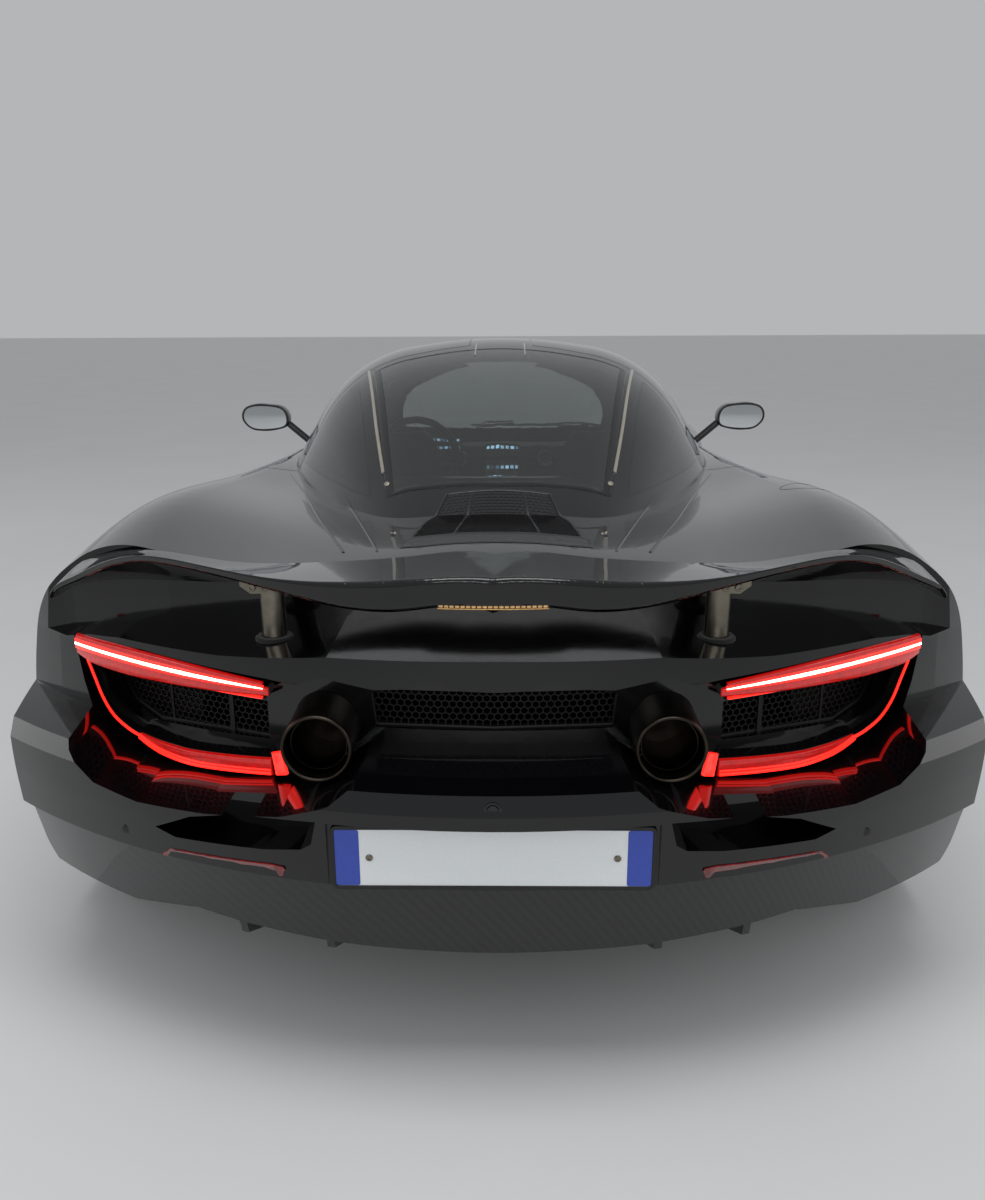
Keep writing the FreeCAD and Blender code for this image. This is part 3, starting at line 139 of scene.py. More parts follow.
def carbon_twill():
    """Carbon fibre cloth in 2x2 twill under satin resin: tows step diagonally, light on dark. A real tow is
    2 mm wide; here it is drawn 5 mm wide so that it shows."""
    material, tree = new_tree("carbon_fibre_twill_satin_resin")
    place = add_node(tree, "ShaderNodeTexCoord").outputs["Object"]
    axes = add_node(tree, "ShaderNodeSeparateXYZ", links={"Vector": place})
    slope = add_node(tree, "ShaderNodeMath", links={0: axes.outputs[1], 1: axes.outputs[2]}, operation="ADD")
    weft = add_node(tree, "ShaderNodeMath", {1: per_metre(5)}, {0: axes.outputs[0]}, operation="MULTIPLY")
    warp = add_node(tree, "ShaderNodeMath", {1: per_metre(5)}, {0: slope.outputs[0]}, operation="MULTIPLY")
    column = add_node(tree, "ShaderNodeMath", links={0: weft.outputs[0]}, operation="FLOOR")
    row = add_node(tree, "ShaderNodeMath", links={0: warp.outputs[0]}, operation="FLOOR")
    step = add_node(tree, "ShaderNodeMath", links={0: column.outputs[0], 1: row.outputs[0]}, operation="ADD")
    quarter = add_node(tree, "ShaderNodeMath", {1: 0.25}, {0: step.outputs[0]}, operation="MULTIPLY")
    phase = add_node(tree, "ShaderNodeMath", links={0: quarter.outputs[0]}, operation="FRACT")
    over = add_node(tree, "ShaderNodeMath", {1: 0.49}, {0: phase.outputs[0]}, operation="LESS_THAN")
    cloth = add_node(tree, "ShaderNodeMix", {FIRST: linear("#08080a"), SECOND: linear("#121315")},
                     {FACTOR: over.outputs[0]}, data_type="RGBA")
    relief = add_node(tree, "ShaderNodeBump", {"Strength": 0.6, "Distance": 0.06 * MM},
                      {"Height": over.outputs[0]})
    shader = add_node(tree, "ShaderNodeBsdfPrincipled",
                      {"Roughness": 0.4, "IOR": 1.5, "Specular IOR Level": 0.3, "Coat Weight": 0.5,
                       "Coat Roughness": 0.14},
                      {"Base Color": cloth.outputs[MIXED], "Normal": relief.outputs[0]})
    add_node(tree, "ShaderNodeOutputMaterial", links={"Surface": shader.outputs[0]})
    return material


def moulded_polypropylene():
    """Injection-moulded black polypropylene: an even spark-eroded grain, 1.5 mm across, that spreads the
    highlight into a soft grey."""
    material, tree = new_tree("polypropylene_moulded_grain")
    place = add_node(tree, "ShaderNodeTexCoord").outputs["Object"]
    tone = add_node(tree, "ShaderNodeTexNoise", {"Scale": per_metre(60), "Detail": 4.0}, {"Vector": place})
    grain = add_node(tree, "ShaderNodeTexVoronoi", {"Scale": per_metre(1.5)}, {"Vector": place})
    colour = add_node(tree, "ShaderNodeMix", {FIRST: linear("#0b0b0c"), SECOND: linear("#141415")},
                      {FACTOR: tone.outputs[0]}, data_type="RGBA")
    pits = add_node(tree, "ShaderNodeBump", {"Strength": 0.5, "Distance": 0.08 * MM},
                    {"Height": grain.outputs["Distance"]})
    shader = add_node(tree, "ShaderNodeBsdfPrincipled", {"Roughness": 0.55, "IOR": 1.49},
                      {"Base Color": colour.outputs[MIXED], "Normal": pits.outputs[0]})
    add_node(tree, "ShaderNodeOutputMaterial", links={"Surface": shader.outputs[0]})
    return material


def gloss_abs():
    """Gloss black ABS of lamp surrounds and trim: glassy, with the fine swirls of polishing cloths."""
    material, tree = new_tree("abs_gloss_black")
    place = add_node(tree, "ShaderNodeTexCoord").outputs["Object"]
    swirl = add_node(tree, "ShaderNodeTexNoise", {"Scale": per_metre(25), "Detail": 6.0, "Distortion": 1.5},
                     {"Vector": place})
    colour = add_node(tree, "ShaderNodeMix", {FIRST: linear("#050506"), SECOND: linear("#0b0b0d")},
                      {FACTOR: swirl.outputs[0]}, data_type="RGBA")
    polish = add_node(tree, "ShaderNodeMapRange", {"To Min": 0.05, "To Max": 0.16},
                      {"Value": swirl.outputs[0]})
    shader = add_node(tree, "ShaderNodeBsdfPrincipled", {"IOR": 1.53},
                      {"Base Color": colour.outputs[MIXED], "Roughness": polish.outputs[0]})
    add_node(tree, "ShaderNodeOutputMaterial", links={"Surface": shader.outputs[0]})
    return material


def float_glass(name, tint):
    """Laminated float glass, tinted in the mass: a sharp mirror outside, a dimmed view of what is within."""
    material, tree = new_tree(name)
    place = add_node(tree, "ShaderNodeTexCoord").outputs["Object"]
    wave = add_node(tree, "ShaderNodeTexNoise", {"Scale": per_metre(160), "Detail": 1.0}, {"Vector": place})
    drawn = add_node(tree, "ShaderNodeBump", {"Strength": 0.2, "Distance": 0.05 * MM},
                     {"Height": wave.outputs[0]})
    shader = add_node(tree, "ShaderNodeBsdfPrincipled",
                      {"Base Color": linear(tint), "Roughness": 0.0, "IOR": 1.52, "Transmission Weight": 1.0},
                      {"Normal": drawn.outputs[0]})
    add_node(tree, "ShaderNodeOutputMaterial", links={"Surface": shader.outputs[0]})
    return material


def lit_polycarbonate(name, dark, light, glow, strength, pitch_mm):
    """Extruded polycarbonate light guide, lit from its ends: the extraction prisms along it show as small
    brighter cells."""
    material, tree = new_tree(name)
    place = add_node(tree, "ShaderNodeTexCoord").outputs["Object"]
    cell = add_node(tree, "ShaderNodeTexVoronoi", {"Scale": per_metre(pitch_mm)}, {"Vector": place})
    body = add_node(tree, "ShaderNodeMix", {FIRST: linear(dark), SECOND: linear(light)},
                    {FACTOR: cell.outputs["Distance"]}, data_type="RGBA")
    shine = add_node(tree, "ShaderNodeMix", {FIRST: linear(glow), SECOND: linear(light)},
                     {FACTOR: cell.outputs["Distance"]}, data_type="RGBA")
    shader = add_node(tree, "ShaderNodeBsdfPrincipled",
                      {"Roughness": 0.18, "IOR": 1.58, "Emission Strength": strength, "Coat Weight": 0.6,
                       "Coat Roughness": 0.05},
                      {"Base Color": body.outputs[MIXED], "Emission Color": shine.outputs[MIXED]})
    add_node(tree, "ShaderNodeOutputMaterial", links={"Surface": shader.outputs[0]})
    return material


def reflector_acrylic():
    """Moulded red acrylic reflector: corner prisms behind a flat polished face, with a painted glint in each
    cell.
    """
    material, tree = new_tree("acrylic_red_reflector")
    place = add_node(tree, "ShaderNodeTexCoord").outputs["Object"]
    cell = add_node(tree, "ShaderNodeTexVoronoi", {"Scale": per_metre(8)}, {"Vector": place})
    # Painted glint: each cell is a brighter red at its middle and a darker red towards its edge
    colour = add_node(tree, "ShaderNodeMix", {FIRST: linear("#8c0c0a"), SECOND: linear("#3c0304")},
                      {FACTOR: cell.outputs["Distance"]}, data_type="RGBA")
    prism = add_node(tree, "ShaderNodeBump", {"Strength": 0.7, "Distance": 0.6 * MM},
                     {"Height": cell.outputs["Distance"]})
    shader = add_node(tree, "ShaderNodeBsdfPrincipled",
                      {"Roughness": 0.12, "IOR": 1.49, "Coat Weight": 1.0, "Coat Roughness": 0.02},
                      {"Base Color": colour.outputs[MIXED], "Normal": prism.outputs[0]})
    add_node(tree, "ShaderNodeOutputMaterial", links={"Surface": shader.outputs[0]})
    return material


def lamp_acrylic():
    """Clear moulded acrylic over bright optics, drawn opaque: its pale colour is painted light from the
    optics behind, and the flutes every 4 mm band it with painted light and grey. Blender's wave repeats ten
    times in pi units, so its scale is set for that."""
    material, tree = new_tree("acrylic_clear_fluted")
    place = add_node(tree, "ShaderNodeTexCoord").outputs["Object"]
    flute = add_node(tree, "ShaderNodeTexWave", {"Scale": per_metre(4) * math.pi / 10, "Distortion": 0.0},
                     {"Vector": place})
    # Painted light: pale grey, lighter in bands at the flutes, in place of the optics seen through clear
    # acrylic
    colour = add_node(tree, "ShaderNodeMix", {FIRST: linear("#6f7479"), SECOND: linear("#c9ced2")},
                      {FACTOR: flute.outputs["Fac"]}, data_type="RGBA")
    shader = add_node(tree, "ShaderNodeBsdfPrincipled",
                      {"Roughness": 0.08, "IOR": 1.49, "Coat Weight": 1.0, "Coat Roughness": 0.01},
                      {"Base Color": colour.outputs[MIXED]})
    add_node(tree, "ShaderNodeOutputMaterial", links={"Surface": shader.outputs[0]})
    return material


def metal(name, dark, light, low, high, pitch_mm, grain_mm, depth_mm, coat=0.0):
    """A bare or thinly coated metal: tone and polish, from low to high roughness, drift over pitch_mm, and a
    grain grain_mm across stands depth_mm high."""
    material, tree = new_tree(name)
    place = add_node(tree, "ShaderNodeTexCoord").outputs["Object"]
    drift = add_node(tree, "ShaderNodeTexNoise", {"Scale": per_metre(pitch_mm), "Detail": 5.0},
                     {"Vector": place})
    colour = add_node(tree, "ShaderNodeMix", {FIRST: linear(dark), SECOND: linear(light)},
                      {FACTOR: drift.outputs[0]}, data_type="RGBA")
    polish = add_node(tree, "ShaderNodeMapRange", {"To Min": low, "To Max": high},
                      {"Value": drift.outputs[0]})
    grain = add_node(tree, "ShaderNodeTexNoise", {"Scale": per_metre(grain_mm), "Detail": 2.0},
                     {"Vector": place})
    relief = add_node(tree, "ShaderNodeBump", {"Strength": 0.5, "Distance": depth_mm * MM},
                      {"Height": grain.outputs[0]})
    shader = add_node(tree, "ShaderNodeBsdfPrincipled",
                      {"Metallic": 1.0, "Coat Weight": coat, "Coat Roughness": 0.05},
                      {"Base Color": colour.outputs[MIXED], "Roughness": polish.outputs[0],
                       "Normal": relief.outputs[0]})
    add_node(tree, "ShaderNodeOutputMaterial", links={"Surface": shader.outputs[0]})
    return material


def tyre_rubber():
    """Vulcanised black rubber: matt, a little dusty in its grain, with a soft sheen at its edges."""
    material, tree = new_tree("rubber_vulcanised")
    place = add_node(tree, "ShaderNodeTexCoord").outputs["Object"]
    dust = add_node(tree, "ShaderNodeTexNoise", {"Scale": per_metre(70), "Detail": 6.0}, {"Vector": place})
    grain = add_node(tree, "ShaderNodeTexNoise", {"Scale": per_metre(2), "Detail": 2.0}, {"Vector": place})
    colour = add_node(tree, "ShaderNodeMix", {FIRST: linear("#0f0f10"), SECOND: linear("#1f1f1f")},
                      {FACTOR: dust.outputs[0]}, data_type="RGBA")
    relief = add_node(tree, "ShaderNodeBump", {"Strength": 0.6, "Distance": 0.1 * MM},
                      {"Height": grain.outputs[0]})
    shader = add_node(tree, "ShaderNodeBsdfPrincipled",
                      {"Roughness": 0.8, "IOR": 1.52, "Sheen Weight": 0.2, "Sheen Roughness": 0.5},
                      {"Base Color": colour.outputs[MIXED], "Normal": relief.outputs[0]})
    add_node(tree, "ShaderNodeOutputMaterial", links={"Surface": shader.outputs[0]})
    return material


def seat_leather():
    """Chrome-tanned black leather: pebbled cells 4 mm across with a dull wax polish on their tops."""
    material, tree = new_tree("leather_chrome_tanned")
    place = add_node(tree, "ShaderNodeTexCoord").outputs["Object"]
    cell = add_node(tree, "ShaderNodeTexVoronoi", {"Scale": per_metre(4)}, {"Vector": place},
                    feature="SMOOTH_F1")
    shade = add_node(tree, "ShaderNodeTexNoise", {"Scale": per_metre(90), "Detail": 4.0}, {"Vector": place})
    colour = add_node(tree, "ShaderNodeMix", {FIRST: linear("#111112"), SECOND: linear("#232122")},
                      {FACTOR: shade.outputs[0]}, data_type="RGBA")
    wax = add_node(tree, "ShaderNodeMapRange", {"To Min": 0.38, "To Max": 0.6},
                   {"Value": cell.outputs["Distance"]})
    pebble = add_node(tree, "ShaderNodeBump", {"Strength": 0.5, "Distance": 0.3 * MM},
                      {"Height": cell.outputs["Distance"]})
    shader = add_node(tree, "ShaderNodeBsdfPrincipled", {"IOR": 1.5, "Sheen Weight": 0.1},
                      {"Base Color": colour.outputs[MIXED], "Roughness": wax.outputs[0],
                       "Normal": pebble.outputs[0]})
    add_node(tree, "ShaderNodeOutputMaterial", links={"Surface": shader.outputs[0]})
    return material


def microfibre():
    """Needled microfibre suede: a short black nap, brushed lighter in patches, with a pale rim of sheen."""
    material, tree = new_tree("microfibre_suede_needled")
    place = add_node(tree, "ShaderNodeTexCoord").outputs["Object"]
    brushed = add_node(tree, "ShaderNodeTexNoise", {"Scale": per_metre(45), "Detail": 5.0}, {"Vector": place})
    nap = add_node(tree, "ShaderNodeTexNoise", {"Scale": per_metre(1.2), "Detail": 2.0}, {"Vector": place})
    colour = add_node(tree, "ShaderNodeMix", {FIRST: linear("#101011"), SECOND: linear("#222224")},
                      {FACTOR: brushed.outputs[0]}, data_type="RGBA")
    fibres = add_node(tree, "ShaderNodeBump", {"Strength": 0.6, "Distance": 0.15 * MM},
                      {"Height": nap.outputs[0]})
    shader = add_node(tree, "ShaderNodeBsdfPrincipled",
                      {"Roughness": 0.92, "Sheen Weight": 0.5, "Sheen Roughness": 0.4},
                      {"Base Color": colour.outputs[MIXED], "Normal": fibres.outputs[0]})
    add_node(tree, "ShaderNodeOutputMaterial", links={"Surface": shader.outputs[0]})
    return material


def plate_film(name, dark, light):
    """Reflective film pressed on aluminium: glass beads under it make a lattice of cells 3 mm across."""
    material, tree = new_tree(name)
    place = add_node(tree, "ShaderNodeTexCoord").outputs["Object"]
    bead = add_node(tree, "ShaderNodeTexVoronoi", {"Scale": per_metre(3)}, {"Vector": place},
                    feature="DISTANCE_TO_EDGE")
    colour = add_node(tree, "ShaderNodeMix", {FIRST: linear(dark), SECOND: linear(light)},
                      {FACTOR: bead.outputs["Distance"]}, data_type="RGBA")
    lattice = add_node(tree, "ShaderNodeBump", {"Strength": 0.3, "Distance": 0.05 * MM},
                       {"Height": bead.outputs["Distance"]})
    shader = add_node(tree, "ShaderNodeBsdfPrincipled",
                      {"Roughness": 0.3, "IOR": 1.5, "Coat Weight": 0.5, "Coat Roughness": 0.08},
                      {"Base Color": colour.outputs[MIXED], "Normal": lattice.outputs[0]})
    add_node(tree, "ShaderNodeOutputMaterial", links={"Surface": shader.outputs[0]})
    return material


def display_glass():
    """Lit instrument display behind bonded glass: rows of small pale blue marks on near black."""
    material, tree = new_tree("display_bonded_glass")
    place = add_node(tree, "ShaderNodeTexCoord").outputs["Object"]
    marks = add_node(tree, "ShaderNodeTexBrick",
                     {"Scale": per_metre(40), "Color1": linear("#a8d4f2"), "Color2": linear("#1d2c3a"),
                      "Mortar": linear("#020304"), "Mortar Size": 0.09}, {"Vector": place})
    shader = add_node(tree, "ShaderNodeBsdfPrincipled",
                      {"Base Color": linear("#060709"), "Roughness": 0.06, "IOR": 1.5,
                       "Emission Strength": 1.6},
                      {"Emission Color": marks.outputs["Color"]})
    add_node(tree, "ShaderNodeOutputMaterial", links={"Surface": shader.outputs[0]})
    return material


PAINT = black_lacquer()
CARBON = carbon_twill()
PLASTIC = moulded_polypropylene()
TRIM = gloss_abs()
# The side panes darken the cabin, the rear pane greys it, and the windscreen leaves it nearly clear
SMOKED = float_glass("float_glass_smoked", "#6c7375")
REAR_PANE = float_glass("float_glass_grey_tint", "#b9bfbd")
SCREEN = float_glass("float_glass_green_tint", "#d0d7d3")
# Lit tail lamps: a nearly white blade, clear red guides beside it and lenses with only a dull red glow
BLADE = lit_polycarbonate("polycarbonate_blade_lit", "#ffb090", "#ffe0d0", "#ff6a48", 8.0, 14)
GUIDE = lit_polycarbonate("polycarbonate_guide_lit", "#9c0c0a", "#e82018", "#ff1c12", 3.0, 12)
LENS = lit_polycarbonate("polycarbonate_lens_dim", "#4c0504", "#8a0c09", "#d80c06", 0.8, 9)
# Small warm cells of the high lamp
AMBER = lit_polycarbonate("polycarbonate_cell_clear", "#8a6a3a", "#d8b070", "#ffb050", 0.25, 4)
REFLECTOR = reflector_acrylic()
CLEAR = lamp_acrylic()
# Wheels, forged 6061 painted dark grey and lacquered: a satin shade under one clear gloss
ALLOY = metal("aluminium_forged_painted", "#141517", "#202124", 0.28, 0.4, 120, 5, 0.01, coat=1.0)
# Struts, bolts and rings, turned and anodised: fine tool marks soften a warm grey
TURNED = metal("aluminium_turned_anodised", "#6a655b", "#8f897c", 0.25, 0.38, 14, 0.8, 0.01)
# Trims of the rear screen, buffed and lacquered: a bright warm line
POLISHED = metal("aluminium_polished_lacquered", "#b4ac9d", "#d6cfc1", 0.12, 0.22, 60, 1.0, 0.005, coat=0.5)
# Exhaust tips, drawn steel: heat has browned and sooted it in bands
STAINLESS = metal("stainless_steel_drawn", "#1f1c1a", "#474039", 0.22, 0.42, 45, 1.0, 0.01)
# Suspension and hinges, dipped and baked: dull black with a slight orange peel
COATED = metal("steel_e_coated", "#1b1c1e", "#2c2d30", 0.4, 0.55, 40, 2.5, 0.05)
# Engine and gearbox, cast in sand: a rough pale grey skin
CAST = metal("aluminium_sand_cast", "#4a4c4f", "#6d6f72", 0.45, 0.6, 50, 2.2, 0.2)
# Brake discs, ground: fine scoring spreads the highlight
IRON = metal("cast_iron_ground", "#4c4e50", "#77797b", 0.3, 0.42, 9, 1.2, 0.02)
# Mirror glass, silvered on its back: a plain sharp reflection
SILVERED = metal("glass_silvered", "#c9cdd0", "#d6dadc", 0.01, 0.03, 200, 50, 0.001)
# Calipers, painted and lacquered: dark grey with a soft gloss
CALIPER = metal("aluminium_caliper_painted", "#2b2c2f", "#3b3c40", 0.35, 0.45, 60, 3, 0.03, coat=0.8)
RUBBER = tyre_rubber()
LEATHER = seat_leather()
SUEDE = microfibre()
PLATE_WHITE = plate_film("film_white_reflective", "#d8dcde", "#eceff0")
PLATE_BLUE = plate_film("film_blue_reflective", "#1c3aa0", "#2f55c4")
DISPLAY = display_glass()

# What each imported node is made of
NODE_MATERIALS = [
    (PAINT, ["front_bumper", "front_wing_right", "front_wing_left", "rear_bumper", "rear_deck",
             "rear_quarter_right", "rear_quarter_left", "bonnet", "door_right", "door_left", "wing",
             "mirror_right", "mirror_left", "roof_frame"]),
    (CARBON, ["undertray", "sills", "diffuser", "tub", "seats"]),
    (PLASTIC, ["arch_liners", "dashboard", "luggage_bin", "grilles"]),
    (TRIM, ["tail_panel", "headlamps"]),
    (SMOKED, ["quarter_glass", "door_glass_right", "door_glass_left"]),
    (REAR_PANE, ["rear_screen"]),
    (SCREEN, ["windscreen"]),
    (GUIDE, ["tail_lamps"]),
    (CLEAR, ["brake_lamp"]),
    (ALLOY, ["rim_front_right", "rim_front_left", "rim_rear_right", "rim_rear_left"]),
    (RUBBER, ["tyre_front_right", "tyre_front_left", "tyre_rear_right", "tyre_rear_left"]),
    (COATED, ["front_suspension", "rear_suspension", "knuckle_front_right", "knuckle_front_left",
              "door_hinges"]),
    (STAINLESS, ["exhausts"]),
    (TURNED, ["wing_struts"]),
    (CAST, ["engine", "gearbox"]),
    (SUEDE, ["steering_wheel"]),
    (PLATE_WHITE, ["number_plate"]),
]
for material, names in NODE_MATERIALS:
    for name in names:
        nodes[name].data.materials.clear()
        nodes[name].data.materials.append(material)

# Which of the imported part's slots each material belongs to
SLOTS = [
    ("paint", [PAINT]),
    ("carbon", [CARBON]),
    ("trim", [PLASTIC, TRIM, DISPLAY, PLATE_BLUE]),
    ("dark_glass", [SMOKED, REAR_PANE, SCREEN]),
    ("lamp", [BLADE, GUIDE, LENS, REFLECTOR]),
    ("headlamp", [CLEAR, SILVERED, AMBER]),
    ("alloy", [ALLOY, CALIPER]),
    ("steel", [TURNED, POLISHED, STAINLESS, COATED, IRON]),
    ("tyre", [RUBBER]),
    ("leather", [LEATHER, SUEDE]),
    ("engine", [CAST]),
    ("plate", [PLATE_WHITE]),
]
SLOT_OF = {material.name: slot for slot, materials in SLOTS for material in materials}

# Shapes in mesh code

SHORTEST_BAR = 0.2


class Shape:
    """Points in millimetres and faces, gathered for one mesh."""

    def __init__(self):
        self.points = []
        self.faces = []

    def put(self, points, faces):
        """Adds points, and faces that count from the first of them."""
        start = len(self.points)
        self.points.extend(Vector(p) for p in points)
        self.faces.extend([start + i for i in face] for face in faces)

    def skin(self, rings, closed=False, caps=True):
        """Quads between rings of points; closed joins the last ring to the first."""
        count = len(rings[0])
        faces = []
        for i in range(len(rings) if closed else len(rings) - 1):
            here, there = i * count, (i + 1) % len(rings) * count
            for k in range(count):
                after = (k + 1) % count
                faces.append((here + k, here + after, there + after, there + k))
        if caps and not closed:
            faces.append(tuple(range(count)))
            faces.append(tuple(range(len(rings) * count - 1, (len(rings) - 1) * count - 1, -1)))
        self.put([p for ring in rings for p in ring], faces)

    def lathe(self, profile, centre, axis, segments=48):
        """Revolves a closed (radius, height) section about an axis through centre."""
        across, over = sideways(axis)
        along = Vector(axis).normalized()
        rings = []
        for k in range(segments):
            turn = 2 * math.pi * k / segments
            out = across * math.cos(turn) + over * math.sin(turn)
            rings.append([Vector(centre) + out * r + along * h for r, h in profile])
        self.skin(rings, closed=True)

    def tube(self, path, radius, sides=8, closed=False):
        """Round bar along a path of points."""
        path = [Vector(p) for p in path]
        rings = []
        across, _ = sideways(path[1] - path[0])
        for i, point in enumerate(path):
            before = path[i - 1] if i or closed else point
            after = path[(i + 1) % len(path)] if i + 1 < len(path) or closed else point
            along = (after - before).normalized()
            across = (across - along * across.dot(along)).normalized()
            over = along.cross(across)
            turns = [2 * math.pi * k / sides for k in range(sides)]
            rings.append([point + (across * math.cos(t) + over * math.sin(t)) * radius for t in turns])
        self.skin(rings, closed=closed)

    def slab(self, outline, place, near, far):
        """Plate between two depths within an outline."""
        self.skin([[place(u, v, near) for u, v in outline], [place(u, v, far) for u, v in outline]])

    def ribbon(self, path, half_width, place, near, far, closed=False, round_off=0.5):
        """Band along a path on a surface, its near edges rounded. half_width is one number or one a point."""
        halves = half_width if isinstance(half_width, list) else [half_width] * len(path)
        rings = []
        for i, (u, v) in enumerate(path):
            u1, v1 = path[i - 1] if i or closed else path[i]
            u2, v2 = path[(i + 1) % len(path)] if i + 1 < len(path) or closed else path[i]
            length = math.hypot(u2 - u1, v2 - v1)
            side_u, side_v = -(v2 - v1) / length, (u2 - u1) / length
            half = halves[i]
            soft = round_off * min(half, abs(far - near))
            turn = 1 if far > near else -1
            edge, bend = near + turn * soft, near + turn * 0.3 * soft
            section = [(-half, far), (-half, edge), (-half + 0.3 * soft, bend), (-half + soft, near),
                       (half - soft, near), (half - 0.3 * soft, bend), (half, edge), (half, far)]
            rings.append([place(u + side_u * s, v + side_v * s, d) for s, d in section])
        self.skin(rings, closed=closed)

    def honeycomb(self, outline, pitch, wall, place, near, far):
        """Bars of a hexagonal mesh, cut to a convex outline. pitch is a cell's width across its flats."""
        side = pitch / math.sqrt(3)
        rise = 1.5 * side
        us, vs = [u for u, _ in outline], [v for _, v in outline]
        for row in range(int(min(vs) / rise) - 2, int(max(vs) / rise) + 3):
            for column in range(int(min(us) / pitch) - 2, int(max(us) / pitch) + 3):
                u, v = (column + row % 2 / 2) * pitch, row * rise
                corners = [(u + side * math.cos(math.radians(a)), v + side * math.sin(math.radians(a)))
                           for a in (-30, 30, 90, 150)]
                for start, end in zip(corners, corners[1:]):
                    kept = clipped(start, end, outline)
                    if kept:
                        self.bar(*kept, wall / 2, place, near, far)

    def bar(self, start, end, half, place, near, far):
        """Straight bar of a mesh."""
        (u1, v1), (u2, v2) = start, end
        length = math.hypot(u2 - u1, v2 - v1)
        if length < SHORTEST_BAR:
            return
        u, v = -(v2 - v1) / length * half, (u2 - u1) / length * half
        rings = [[place(a + u, b + v, far), place(a + u, b + v, near), place(a - u, b - v, near),
                  place(a - u, b - v, far)] for a, b in (start, end)]
        self.skin(rings)

    def mirror(self):
        """Adds the same shape on the car's other side."""
        flipped = [Vector((-p.x, p.y, p.z)) for p in self.points]
        self.put(flipped, [face[::-1] for face in self.faces])

    def mesh(self, name):
        """The shape as a Blender mesh in metres, its doubled points joined and its faces turned outwards."""
        mesh = bpy.data.meshes.new(name)
        mesh.from_pydata([p * MM for p in self.points], [], self.faces)
        work = bmesh.new()
        work.from_mesh(mesh)
        bmesh.ops.remove_doubles(work, verts=work.verts, dist=0.002 * MM)
        bmesh.ops.recalc_face_normals(work, faces=work.faces)
        work.to_mesh(mesh)
        work.free()
        return mesh


def sideways(axis):
    """Two directions square to an axis and to each other."""
    axis = Vector(axis).normalized()
    helper = Vector((0, 0, 1)) if abs(axis.z) < 0.9 else Vector((0, 1, 0))
    across = axis.cross(helper).normalized()
    return across, axis.cross(across)


def clipped(start, end, outline):
    """The part of a line inside a convex outline that runs anticlockwise or clockwise, or None."""
    area = sum(a[0] * b[1] - b[0] * a[1] for a, b in zip(outline, outline[1:] + outline[:1]))
    low, high = 0.0, 1.0
    du, dv = end[0] - start[0], end[1] - start[1]
    for a, b in zip(outline, outline[1:] + outline[:1]):
        nu, nv = (b[1] - a[1], a[0] - b[0]) if area > 0 else (a[1] - b[1], b[0] - a[0])
        gap = nu * (start[0] - a[0]) + nv * (start[1] - a[1])
        pace = nu * du + nv * dv
        if abs(pace) < 1e-9:
            if gap > 0:
                return None
            continue
        at = -gap / pace
        if pace > 0:
            high = min(high, at)
        else:
            low = max(low, at)
    if low >= high:
        return None
    return ((start[0] + du * low, start[1] + dv * low), (start[0] + du * high, start[1] + dv * high))


def smooth_path(points, steps=6, closed=False):
    """Points along a smooth curve through the given ones."""
    count = len(points)
    result = []
    for i in range(count if closed else count - 1):
        near = [i - 1, i, i + 1, i + 2]
        p = [points[k % count if closed else min(max(k, 0), count - 1)] for k in near]
        for step in range(steps):
            t = step / steps
            weights = [(-t + 2 * t * t - t ** 3) / 2, (2 - 5 * t * t + 3 * t ** 3) / 2,
                       (t + 4 * t * t - 3 * t ** 3) / 2, (t ** 3 - t * t) / 2]
            result.append(tuple(sum(w * q[axis] for w, q in zip(weights, p)) for axis in range(len(p[0]))))
    if not closed:
        result.append(tuple(points[-1]))
    return result


def along(points, count):
    """Points spaced evenly along straight runs."""
    result = []
    for (u1, v1), (u2, v2) in zip(points, points[1:]):
        result += [(u1 + (u2 - u1) * k / count, v1 + (v2 - v1) * k / count) for k in range(count)]
    return result + [points[-1]]


def symmetric(outline):
    """Whole outline from its right half, given from the centre line round to the centre line."""
    half = [(max(u, 0.0), v) for u, v in outline]
    return half + [(-u, v) for u, v in reversed(half) if u > 0]


def piece(name, shape, material, body="body", stands_for=(), edge=0.0, angle=32):
    """One object of the scene. It rides on a CAD body. edge rounds its sharp edges by that many
    millimetres, and angle is the bend at which an edge counts as sharp."""
    mesh = shape if isinstance(shape, bpy.types.Mesh) else shape.mesh(name)
    thing = bpy.data.objects.new(name, mesh)
    bpy.context.scene.collection.objects.link(thing)
    mesh.materials.clear()
    mesh.materials.append(material)
    mesh.shade_smooth()
    mesh.set_sharp_from_angle(angle=math.radians(angle))
    if edge:
        bevel = thing.modifiers.new("edge", "BEVEL")
        bevel.width = edge * MM
        bevel.segments = 2
        bevel.limit_method = "ANGLE"
        bevel.angle_limit = math.radians(angle)
        bevel.harden_normals = True
    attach(thing, body)
    if stands_for:
        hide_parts(*stands_for)
    return thing


def on_tail(x, z, inset):
    """A place behind the car, inset from the tail's round surface."""
    return Vector((x, TAIL_AXIS - math.sqrt((TAIL_RADIUS - inset) ** 2 - x * x), z))


def surface(names):
    """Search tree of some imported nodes, to set pieces on them."""
    points, faces = [], []
    for name in names:
        mesh = nodes[name].data
        start = len(points)
        points.extend(nodes[name].matrix_world @ v.co for v in mesh.vertices)
        faces.extend([start + i for i in p.vertices] for p in mesh.polygons)
    return BVHTree.FromPolygons(points, faces)


def dropped(tree, start, direction):
    """Where a line from start, in millimetres, first meets a surface, and its normal there, or two Nones. It
    is tried again a hair aside, in case it slips between two triangles."""
    for aside in (0.0, 0.02):
        place, normal, _, _ = tree.ray_cast((Vector(start) + Vector((aside,) * 3)) * MM, Vector(direction))
        if place is not None:
            return place / MM, normal
    return None, None


def low(name):
    """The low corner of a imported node's box, in millimetres."""
    return Vector(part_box(name)[0]) / MM


def high(name):
    """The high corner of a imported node's box, in millimetres."""
    return Vector(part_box(name)[1]) / MM


# Meshes of the outlets, the intakes and the engine cover

